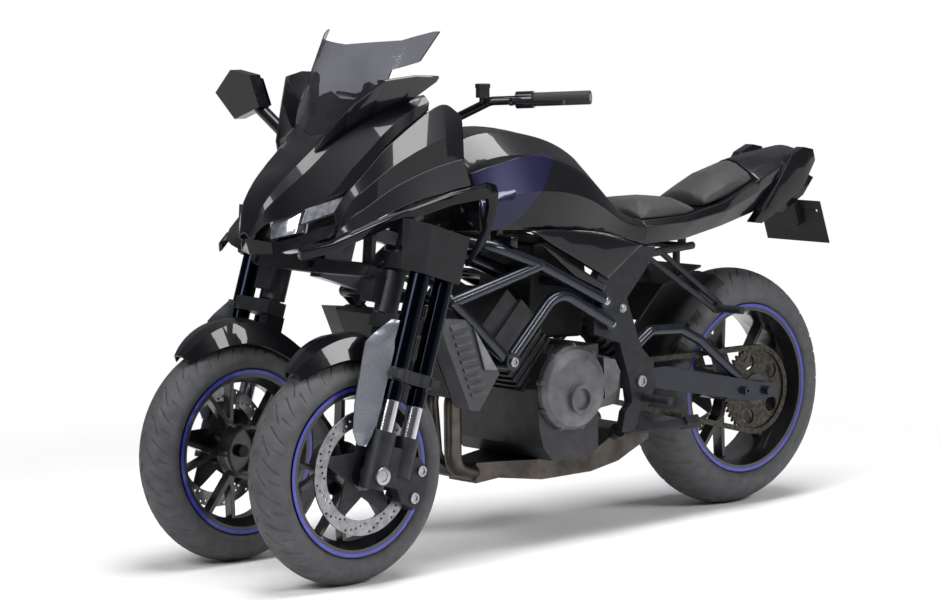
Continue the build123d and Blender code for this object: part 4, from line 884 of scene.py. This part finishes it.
class TRIKE_OT_seats(bpy.types.Operator):
    """Pads the two seats with foam under vinyl"""

    bl_idname = "trike.seats"
    bl_label = "Pad the seats"

    def execute(self, context):
        for node, swell, fill in SEATS:
            piece = self.copy_solid(context, node)
            self.swell(context, piece, swell * MM)
            smoother = piece.modifiers.new("smoother", "SUBSURF")
            smoother.levels = smoother.render_levels = 1
            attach(piece, "chassis")
            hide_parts(node)
        return {"FINISHED"}

    def copy_solid(self, context, node):
        """The plain solid, remeshed evenly so that it can swell."""
        mesh = NODES[node].data.copy()
        mesh.name = f"{node}_cover"
        piece = bpy.data.objects.new(mesh.name, mesh)
        context.scene.collection.objects.link(piece)
        even = piece.modifiers.new("even", "REMESH")
        even.mode = "VOXEL"
        even.voxel_size = COVER_GRID
        self.apply(context, piece)
        piece.data.materials.clear()
        piece.data.materials.append(finish(seat_vinyl))
        piece.data.shade_smooth()
        return piece

    def apply(self, context, piece):
        """Keeps what the modifiers make as the piece's own mesh."""
        shaped = bpy.data.meshes.new_from_object(piece.evaluated_get(context.evaluated_depsgraph_get()))
        piece.modifiers.clear()
        piece.data = shaped

    def swell(self, context, piece, cap):
        """Foam pressure under the cover, with the underside held to the seat base."""
        rest = [v.co.copy() for v in piece.data.vertices]
        normals = [v.normal.copy() for v in piece.data.vertices]
        held = piece.vertex_groups.new(name="held")
        held.add([k for k, n in enumerate(normals) if n.z < HELD_SLOPE], 1.0, "REPLACE")
        cover = piece.modifiers.new("cover", "CLOTH")
        cover.settings.use_pressure = True
        cover.settings.uniform_pressure_force = FOAM_PRESSURE
        cover.settings.effector_weights.gravity = 0.0
        cover.settings.vertex_group_mass = "held"
        cover.point_cache.frame_start, cover.point_cache.frame_end = 1, FOAM_FRAMES
        for step in range(1, FOAM_FRAMES + 1):
            context.scene.frame_set(step)
        self.apply(context, piece)
        context.scene.frame_set(1)
        for vertex, start_at in zip(piece.data.vertices, rest):
            shift = vertex.co - start_at
            if shift.length > cap:
                vertex.co = start_at + shift * (cap / shift.length)


# Hood runs of left-hand (y, z) points at each x: middle, crease, foot of the crease, edge and lip.
HOOD = [
    (912, [(0, 833), (12, 829), (15, 826), (20, 820), (21, 818)]),
    (886, [(0, 896), (36, 892), (43, 882), (49, 858), (50, 855)]),
    (850, [(0, 954), (48, 940), (64, 922), (78, 870), (79, 867)]),
    (800, [(0, 990), (57, 985), (80, 964), (117, 898), (118, 895)]),
    (762, [(0, 1018), (61, 1016), (86, 995), (140, 920), (141, 917)]),
    (707, [(0, 1052), (70, 1060), (96, 1043), (156, 980), (172, 940)]),
    (660, [(0, 1060), (94, 1088), (118, 1075), (168, 1026), (180, 990)]),
    (624, [(0, 1062), (114, 1108), (136, 1097), (176, 1062), (184, 1036)]),
    (560, [(0, 1064), (150, 1138), (163, 1131), (190, 1110), (192, 1086)]),
    (500, [(0, 1066), (176, 1150), (184, 1145), (196, 1133), (193, 1116)]),
]
# Side cowl runs of left-hand (y, z) points at each x: blade top, blade edge, recess and foot.
SIDE_COWL = [
    (778, [(176, 882), (190, 846), (195, 840), (207, 835)]),
    (740, [(176, 925), (195, 908), (199, 872), (214, 842)]),
    (707, [(182, 956), (199, 931), (202, 888), (219, 854)]),
    (634, [(191, 1024), (207, 978), (208, 928), (230, 882)]),
    (560, [(197, 1076), (213, 1014), (214, 958), (237, 905)]),
    (500, [(201, 1112), (216, 1036), (217, 976), (241, 916)]),
    (455, [(206, 1126), (218, 1046), (219, 986), (244, 925)]),
    (412, [(214, 1098), (219, 1056), (222, 994), (247, 931)]),
]
# Skins: sheet, steps between runs, gap over which corners join, rounding of creases and least angle.
SKIN_THICK, FLOW_STEPS = 4.0, 7
SKIN_JOIN, CREASE_RADIUS, CREASE_ANGLE = 0.05 * MM, 2.2 * MM, radians(9)


class TRIKE_OT_skins(bpy.types.Operator):
    """Draws the hood and side cowls as panels that flow lengthways between crisp crease lines"""

    bl_idname = "trike.skins"
    bl_label = "Sweep the cowl panels"

    def execute(self, context):
        for name, node, runs, way in (
            ("swept_hood", "nose_cowl", HOOD, (0, -1)),
            ("swept_side", "side_cowls", SIDE_COWL, (-1, 0)),
        ):
            sides = [self.panel(runs, way, side) for side in (1, -1)]
            piece = new_piece(name, *merged(sides), night_lacquer, "chassis", "paint_black")
            round_edges(piece, CREASE_RADIUS, SKIN_JOIN, CREASE_ANGLE)
            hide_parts(node)
        return {"FINISHED"}

    def panel(self, runs, way, side):
        """One side's strips between neighbouring run points, with their own corners for crisp creases."""
        parts = []
        count = len(runs[0][1])
        in_y, in_z = (share * SKIN_THICK for share in way)
        lines = [self.flow([(x, *run[j]) for x, run in runs]) for j in range(count)]
        inner = [[(x, y + in_y, z + in_z) for x, y, z in line] for line in lines]
        pairs = [(lines[j], lines[j + 1]) for j in range(count - 1)]
        pairs += [(inner[j + 1], inner[j]) for j in range(count - 1)]
        pairs += [(inner[0], lines[0]), (lines[-1], inner[-1])]
        for first, second in pairs:
            parts.append(self.strip(first, second, side))
        for end in (0, -1):
            rim = [line[end] for line in lines], [line[end] for line in inner]
            parts.append(self.strip(*(rim if end else rim[::-1]), side))
        return merged(parts)

    def flow(self, points):
        """A smooth line through the points, with x as its run."""
        slopes = []
        for k in range(len(points)):
            before, after = points[max(k - 1, 0)], points[min(k + 1, len(points) - 1)]
            slopes.append([(b - a) / (after[0] - before[0]) for a, b in zip(before, after)])
        line = []
        for k in range(len(points) - 1):
            span = points[k + 1][0] - points[k][0]
            for step in range(FLOW_STEPS):
                s = step / FLOW_STEPS
                near, near_slope = 2 * s**3 - 3 * s**2 + 1, (s**3 - 2 * s**2 + s) * span
                far, far_slope = 3 * s**2 - 2 * s**3, (s**3 - s**2) * span
                ends = zip(points[k], slopes[k], points[k + 1], slopes[k + 1])
                line.append(tuple(near * a + near_slope * m + far * b + far_slope * n for a, m, b, n in ends))
        return line + [points[-1]]

    def strip(self, first, second, side):
        """A ribbon between two lines, mirrored for the right side."""
        vertices = [Vector((x, side * y, z)) * MM for pair in zip(first, second) for x, y, z in pair]
        faces = []
        for k in range(len(first) - 1):
            loop = (2 * k, 2 * k + 1, 2 * k + 3, 2 * k + 2)
            faces.append(loop if side > 0 else loop[::-1])
        return vertices, faces


# Hood liner: the lip that it hangs from, gaps to it sideways and down, its drop, lean and sheet.
LINER_FRONT = 800
HOOD_LIP = [(x, *run[-1]) for x, run in HOOD if x <= LINER_FRONT]
LINER_IN, LINER_DOWN, LINER_DROP, LINER_LEAN, LINER_THICK = 4.0, 1.0, 78.0, 9.0, 2.0
# Mirror glass: its (y, z) corners, and its front and back behind the head.
MIRROR_GLASS = [(-341, 1191), (-277, 1182), (-245, 1117), (-328, 1092), (-392, 1146)]
GLASS_FRONT, GLASS_BACK = 0.2 * MM, 1.6 * MM


class TRIKE_OT_liners(bpy.types.Operator):
    """Hangs the dark inner panels under the hood's edge and lays the mirror's glass"""

    bl_idname = "trike.liners"
    bl_label = "Line the cowl"

    def execute(self, context):
        sides = [self.liner(side) for side in (1, -1)]
        new_piece("hood_liner", *merged(sides), moulded_black, "chassis", "black_plastic")
        self.lay_glass()
        return {"FINISHED"}

    def liner(self, side):
        """One leaning sheet that follows the hood's lip."""
        vertices, faces = [], []
        for x, y, z in HOOD_LIP:
            top, outside = z - LINER_DOWN, y - LINER_IN
            section = [(outside, top), (outside - LINER_THICK, top)]
            section += [(inward - LINER_LEAN, high - LINER_DROP) for inward, high in reversed(section)]
            vertices += [Vector((x, side * inward, high)) * MM for inward, high in section]
        for k in range(len(HOOD_LIP) - 1):
            for j in range(4):
                beside = (j + 1) % 4
                faces.append((4 * k + j, 4 * k + beside, 4 * k + 4 + beside, 4 * k + 4 + j))
        faces.append((3, 2, 1, 0))
        faces.append(tuple(4 * (len(HOOD_LIP) - 1) + j for j in range(4)))
        return vertices, faces

    def lay_glass(self):
        """Mirror glass on the rider's side of its head, inside the rim."""
        low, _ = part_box("mirror")
        ends = (low.x - GLASS_FRONT, low.x - GLASS_BACK)
        vertices = [(x, y * MM, z * MM) for x in ends for y, z in MIRROR_GLASS]
        faces = prism_faces(len(MIRROR_GLASS))
        new_piece("mirror_glass", vertices, faces, silvered_glass, "chassis", "lens", smooth=False)


# Outlines as (x, z) corners: the dark airbox under the tank and the pale plate on each shroud.
AIRBOX = [(92, 520), (70, 760), (-30, 768), (-100, 758), (-118, 650), (-98, 512)]
AIRBOX_HALF, AIRBOX_EDGE = 100.0, 8 * MM
SHROUD_PLATE = [(384, 577), (311, 472), (351, 477)]
PLATE_FACE, PLATE_THICK = 228.0, 1.2
# Louvres on each shroud: count, first corner and step in (x, z), their length, and how far they stand out.
LOUVRES, LOUVRE_FIRST, LOUVRE_STEP, LOUVRE_LENGTH, LOUVRE_OUT = 9, (459, 592), (-8, -21), 50.0, 8.0
# Their y at the shroud and inside it, rise to the rear, drops of the lip and the back, and shift of both.
LOUVRE_FACE, LOUVRE_ROOT = 222.0, 218.0
LOUVRE_RISE, LIP_DROP, BACK_DROP, LIP_SHIFT = 6, 12, 8, 2
# Reservoirs on the bar: x, y and z of the foot, radius and height, stem below, and turns.
RESERVOIR_FOOT, RESERVOIR_R, RESERVOIR_H = (318, 186, 1138), 17.0 * MM, 34.0 * MM
STEM_DROP, POT_TURNS = 14 * MM, 32
# Stem and lid radius as shares of the pot's radius; foot and rim of the lid as shares of its height.
STEM_SHARE, LID_SHARE, LID_FOOT, LID_RIM = 0.5, 1.1, 0.7, 0.96


class TRIKE_OT_trim(bpy.types.Operator):
    """Adds the airbox, shroud louvres and plates, and the reservoirs on the bar"""

    bl_idname = "trike.trim"
    bl_label = "Add the trim"

    def execute(self, context):
        box = self.slab(AIRBOX, -AIRBOX_HALF, AIRBOX_HALF)
        self.soften(new_piece("airbox", *box, moulded_black, "chassis", "black_plastic"), AIRBOX_EDGE)
        plates, slats, pots = [], [], []
        for side in (1, -1):
            plates.append(self.slab(SHROUD_PLATE, side * PLATE_FACE, side * (PLATE_FACE + PLATE_THICK)))
            slats += [self.louvre(k, side) for k in range(LOUVRES)]
            pots.append(self.pot(side))
        new_piece("shroud_plates", *merged(plates), pale_plate, "chassis", "black_plastic", smooth=False)
        new_piece("shroud_louvres", *merged(slats), slate_plastic, "chassis", "black_plastic", smooth=False)
        new_piece("reservoirs", *merged(pots), moulded_black, "handlebar", "black_plastic")
        return {"FINISHED"}

    def soften(self, piece, radius):
        """Rounded edges of a moulding."""
        rounded = piece.modifiers.new("rounded", "BEVEL")
        rounded.width, rounded.segments = radius, 3
        rounded.limit_method = "ANGLE"

    def slab(self, outline, y_from, y_to):
        """A prism across y over an (x, z) outline."""
        vertices = [Vector((x, y, z)) * MM for y in (y_from, y_to) for x, z in outline]
        return vertices, prism_faces(len(outline))

    def pot(self, side):
        """A round reservoir with a wider lid, on its stem."""
        x, y, z = RESERVOIR_FOOT
        r, h = RESERVOIR_R, RESERVOIR_H
        stem, lid, foot, rim = r * STEM_SHARE, r * LID_SHARE, h * LID_FOOT, h * LID_RIM
        profile = [(-STEM_DROP, 0), (-STEM_DROP, stem), (0, stem), (0, r), (foot, r), (foot, lid)]
        profile += [(rim, lid), (h, r), (h, 0)]
        return turned(profile, Vector((x, side * y, z)) * MM, (0, 0, 1), POT_TURNS)

    def louvre(self, k, side):
        """One slat that stands out at its lower edge."""
        x, z = LOUVRE_FIRST[0] + LOUVRE_STEP[0] * k, LOUVRE_FIRST[1] + LOUVRE_STEP[1] * k
        rear, lip = x - LOUVRE_LENGTH, LOUVRE_FACE + LOUVRE_OUT
        corners = [
            (x, LOUVRE_FACE, z),
            (rear, LOUVRE_FACE, z + LOUVRE_RISE),
            (rear - LIP_SHIFT, lip, z + LOUVRE_RISE - LIP_DROP),
            (x - LIP_SHIFT, lip, z - LIP_DROP),
            (x - LIP_SHIFT, LOUVRE_ROOT, z - BACK_DROP),
            (rear - LIP_SHIFT, LOUVRE_ROOT, z + LOUVRE_RISE - BACK_DROP),
        ]
        vertices = [Vector((a, side * b, c)) * MM for a, b, c in corners]
        faces = [(0, 1, 2, 3), (3, 2, 5, 4), (4, 5, 1, 0), (0, 3, 4), (1, 5, 2)]
        return vertices, faces


# Bolts on both sides of the chassis: name, point, radius and height in millimetres, kind.
BOLTS = [
    ("pivot_bolt", (-215, 195.5, 395), 15, 8, "ring"),
    ("shock_bolt", (-150, 195.5, 588), 10, 7, "hex"),
    ("upper_boss_bolt", (-70, 220.0, 614), 9, 6, "hex"),
    ("lower_boss_bolt", (-90, 220.0, 556), 9, 6, "hex"),
    ("mount_bolt", (263, 235.0, 488), 12, 6, "ring"),
]
# Engine covers with a ring of bolts: middle x and z, and side.
COVER_BOLTS = [(18, 398, 1), (-6, 390, -1)]
# The ring's count, first angle, radius and face, and each bolt's boss and head.
COVER_BOLT_COUNT, COVER_BOLT_ANGLE, COVER_BOLT_CIRCLE, COVER_FACE = 9, 0.2, 106.0, 188.0
COVER_BOSS_R, COVER_BOSS_DEEP, COVER_BOSS_TURNS = 8 * MM, 16 * MM, 20
COVER_HEAD_R, COVER_HEAD_H = 5.5, 5
# Round hardware in the fork frame, on both sides: name, local (x, y, z), radius, height, kind.
FORK_BOLTS = [
    ("caliper_bolt_upper", (-128, 119.0, 36), 13, 7, "ring"),
    ("caliper_bolt_lower", (-124, 119.0, -30), 13, 7, "ring"),
    ("axle_cap", (0, 135.0, 0), 21, 6, "ring"),
]
# Bolt heads as (height, radius) shares of their own height and radius.
WASHER = [(0, 0), (0, 1.15), (0.25, 1.15), (0.3, 1.1), (0.3, 0)]
HEXAGON = [(0.3, 0), (0.3, 0.95), (0.9, 0.95), (1, 0.84), (1, 0)]
RING = [(0, 0), (0, 1), (0.85, 1), (1, 0.92), (1, 0.62), (0.45, 0.56), (0.45, 0)]
ROUND_TURNS, HEX_TURNS = 40, 6


class TRIKE_OT_hardware(bpy.types.Operator):
    """Fits the bolts and caps"""

    bl_idname = "trike.hardware"
    bl_label = "Fit the bolts"

    def execute(self, context):
        for name, (x, y, z), radius, height, kind in BOLTS:
            places = [(Vector((x, side * y, z)) * MM, side) for side in (1, -1)]
            parts = [self.head(at, side, radius, height, kind) for at, side in places]
            new_piece(name, *merged(parts), bolt_steel, "chassis", "disc_steel")
        new_piece("cover_bolts", *merged(self.cover_bolts()), cover_casting, "chassis", "engine_metal")
        for name, (x, y, z), radius, height, kind in FORK_BOLTS:
            for side, which in ((1, "left"), (-1, "right")):
                part = self.head(on_fork(side, x, y, z), side, radius, height, kind)
                new_piece(f"{name}_{which}", *part, bolt_steel, f"fork_{which}", "disc_steel")
        return {"FINISHED"}

    def cover_bolts(self):
        """Bosses and bolt heads round both engine covers."""
        r, deep = COVER_BOSS_R, -COVER_BOSS_DEEP
        boss = [(deep, 0), (deep, r), (0, r), (0, 0)]
        parts = []
        for x, z, side in COVER_BOLTS:
            for k in range(COVER_BOLT_COUNT):
                a = 2 * pi * k / COVER_BOLT_COUNT + COVER_BOLT_ANGLE
                across, up = COVER_BOLT_CIRCLE * cos(a), COVER_BOLT_CIRCLE * sin(a)
                at = Vector((x + across, side * COVER_FACE, z + up)) * MM
                parts.append(turned(boss, at, (0, side, 0), COVER_BOSS_TURNS))
                parts.append(self.head(at, side, COVER_HEAD_R, COVER_HEAD_H, "hex"))
        return parts

    def head(self, at, side, radius, height, kind):
        """A bolt head that faces one side: a hexagon on a washer, or a ring with a recessed middle."""
        shapes = [(RING, ROUND_TURNS)] if kind == "ring" else [(WASHER, ROUND_TURNS), (HEXAGON, HEX_TURNS)]
        parts = []
        for shares, turns in shapes:
            profile = [(h * height * MM, r * radius * MM) for h, r in shares]
            parts.append(turned(profile, at, (0, side, 0), turns))
        return merged(parts)


# Floor: half its side, and the distances between which it fades to plain white, in metres.
FLOOR_REACH, FADE_START, FADE_END = 2500.0, 1.3, 2.6
# World: brightness, and its colour at a height from the horizon (0) to straight up (1).
WORLD_STRENGTH = 0.6
WORLD_TONES = [(0.0, "#5C5C60"), (0.6, "#A8A8AC")]
# Soft boxes: name, place and target in metres, width and height, power in watts.
LAMPS = [
    ("top_box", (0.1, 0.5, 3.8), (0.1, 0, 0.6), (3.6, 1.4), 170.0),
    ("front_box", (4.6, 1.0, 3.2), (0.3, 0, 0.8), (1.6, 2.2), 130.0),
    ("side_box", (-1.2, 4.6, 3.0), (0, 0, 0.7), (3.0, 0.9), 130.0),
]


class TRIKE_OT_stage(bpy.types.Operator):
    """Lays the pale floor and sets the plain world, the soft lamps and the camera"""

    bl_idname = "trike.stage"
    bl_label = "Set the stage"

    def execute(self, context):
        self.lay_floor()
        self.light_world(context)
        self.hang_lamps()
        self.place_camera(context)
        context.scene.view_settings.view_transform = "Standard"
        return {"FINISHED"}

    def lay_floor(self):
        """A wide plain floor, lit near the object and plain white further off."""
        reach = FLOOR_REACH
        mesh = bpy.data.meshes.new("floor")
        corners = [(-reach, -reach, 0), (reach, -reach, 0), (reach, reach, 0), (-reach, reach, 0)]
        mesh.from_pydata(corners, [], [(0, 1, 2, 3)])
        floor = bpy.data.objects.new("floor", mesh)
        bpy.context.scene.collection.objects.link(floor)
        made = bpy.data.materials.new("white_floor")
        made.use_nodes = True
        tree = made.node_tree
        tree.nodes.clear()
        where = add(tree, "ShaderNodeTexCoord").outputs["Object"]
        away = add(tree, "ShaderNodeVectorMath", {"operation": "LENGTH"}, {"Vector": where}).outputs["Value"]
        ends = {"From Min": FADE_START, "From Max": FADE_END, "interpolation_type": "SMOOTHSTEP"}
        fade = add(tree, "ShaderNodeMapRange", ends, {"Value": away}).outputs["Result"]
        near = add(tree, "ShaderNodeBsdfDiffuse", {"Color": opaque(bpy.context.scene.trike_colours.floor)})
        far = add(tree, "ShaderNodeEmission", {"Color": opaque("#FFFFFF"), "Strength": 1.0})
        path = add(tree, "ShaderNodeLightPath").outputs
        either = {0: path["Is Camera Ray"], 1: path["Is Glossy Ray"]}
        seen = add(tree, "ShaderNodeMath", {"operation": "MAXIMUM"}, either).outputs[0]
        either = {0: seen, 1: path["Is Transmission Ray"]}
        seen = add(tree, "ShaderNodeMath", {"operation": "MAXIMUM"}, either).outputs[0]
        share = add(tree, "ShaderNodeMath", {"operation": "MULTIPLY"}, {0: fade, 1: seen}).outputs[0]
        layers = {0: share, 1: near.outputs["BSDF"], 2: far.outputs["Emission"]}
        mixed = add(tree, "ShaderNodeMixShader", links=layers)
        add(tree, "ShaderNodeOutputMaterial", links={"Surface": mixed.outputs["Shader"]})
        mesh.materials.append(made)

    def light_world(self, context):
        """A plain grey world, lighter overhead, that fills the shadows."""
        world = bpy.data.worlds.new("studio")
        world.use_nodes = True
        tree = world.node_tree
        tree.nodes.clear()
        where = add(tree, "ShaderNodeTexCoord").outputs["Generated"]
        height = add(tree, "ShaderNodeSeparateXYZ", links={"Vector": where}).outputs["Z"]
        ramp = add(tree, "ShaderNodeValToRGB", links={"Fac": height})
        for element, (place, tone) in zip(ramp.color_ramp.elements, WORLD_TONES):
            element.position, element.color = place, opaque(tone)
        sky = {"Color": ramp.outputs["Color"]}
        back = add(tree, "ShaderNodeBackground", {"Strength": WORLD_STRENGTH}, sky)
        add(tree, "ShaderNodeOutputWorld", links={"Surface": back.outputs["Background"]})
        context.scene.world = world

    def hang_lamps(self):
        """Three large soft boxes: overhead, ahead and on the left."""
        for name, at, target, size, power in LAMPS:
            lamp = bpy.data.lights.new(name, "AREA")
            lamp.shape = "RECTANGLE"
            lamp.size, lamp.size_y = size
            lamp.energy = power
            holder = bpy.data.objects.new(name, lamp)
            bpy.context.scene.collection.objects.link(holder)
            holder.location = at
            holder.rotation_euler = (Vector(target) - Vector(at)).to_track_quat("-Z", "Y").to_euler()

    def place_camera(self, context):
        """The photograph's viewpoint and lens."""
        turn, rise = radians(CAMERA_AZIMUTH), radians(CAMERA_ELEVATION)
        outward = Vector((cos(rise) * cos(turn), cos(rise) * sin(turn), sin(rise)))
        camera = bpy.data.cameras.new("camera")
        camera.sensor_width = SENSOR_WIDTH
        camera.lens = FOCAL_LENGTH
        holder = bpy.data.objects.new("camera", camera)
        context.scene.collection.objects.link(holder)
        right = (-outward).cross(Vector((0, 0, 1))).normalized()
        up = right.cross(-outward)
        roll = radians(CAMERA_ROLL)
        tilted_right = right * cos(roll) + up * sin(roll)
        tilted_up = up * cos(roll) - right * sin(roll)
        facing = Matrix((tilted_right, tilted_up, outward)).transposed().to_4x4()
        holder.matrix_world = Matrix.Translation(CAMERA_TARGET + outward * CAMERA_DISTANCE) @ facing
        context.scene.camera = holder


CLASSES = (
    TrikeColours,
    TrikeSizes,
    TRIKE_OT_stage,
    TRIKE_OT_finishes,
    TRIKE_OT_tyres,
    TRIKE_OT_rims,
    TRIKE_OT_discs,
    TRIKE_OT_seats,
    TRIKE_OT_skins,
    TRIKE_OT_liners,
    TRIKE_OT_trim,
    TRIKE_OT_hardware,
)


class TRIKE_PT_panel(bpy.types.Panel):
    """Lists the steps that dress the trike"""

    bl_idname = "TRIKE_PT_panel"
    bl_label = "Reverse trike"
    bl_space_type = "VIEW_3D"
    bl_region_type = "UI"
    bl_category = "Trike"

    def draw(self, context):
        for step in CLASSES:
            if issubclass(step, bpy.types.Operator):
                self.layout.operator(step.bl_idname)


def register():
    for part in (*CLASSES, TRIKE_PT_panel):
        bpy.utils.register_class(part)
    bpy.types.Scene.trike_colours = bpy.props.PointerProperty(type=TrikeColours)
    bpy.types.Scene.trike_sizes = bpy.props.PointerProperty(type=TrikeSizes)


def unregister():
    del bpy.types.Scene.trike_sizes
    del bpy.types.Scene.trike_colours
    for part in reversed((*CLASSES, TRIKE_PT_panel)):
        bpy.utils.unregister_class(part)


def main():
    """Dresses the loaded model."""
    register()
    bpy.ops.trike.stage()
    bpy.ops.trike.finishes()
    bpy.ops.trike.tyres()
    bpy.ops.trike.rims()
    bpy.ops.trike.discs()
    bpy.ops.trike.seats()
    bpy.ops.trike.skins()
    bpy.ops.trike.liners()
    bpy.ops.trike.trim()
    bpy.ops.trike.hardware()


if __name__ == "__main__":
    main()
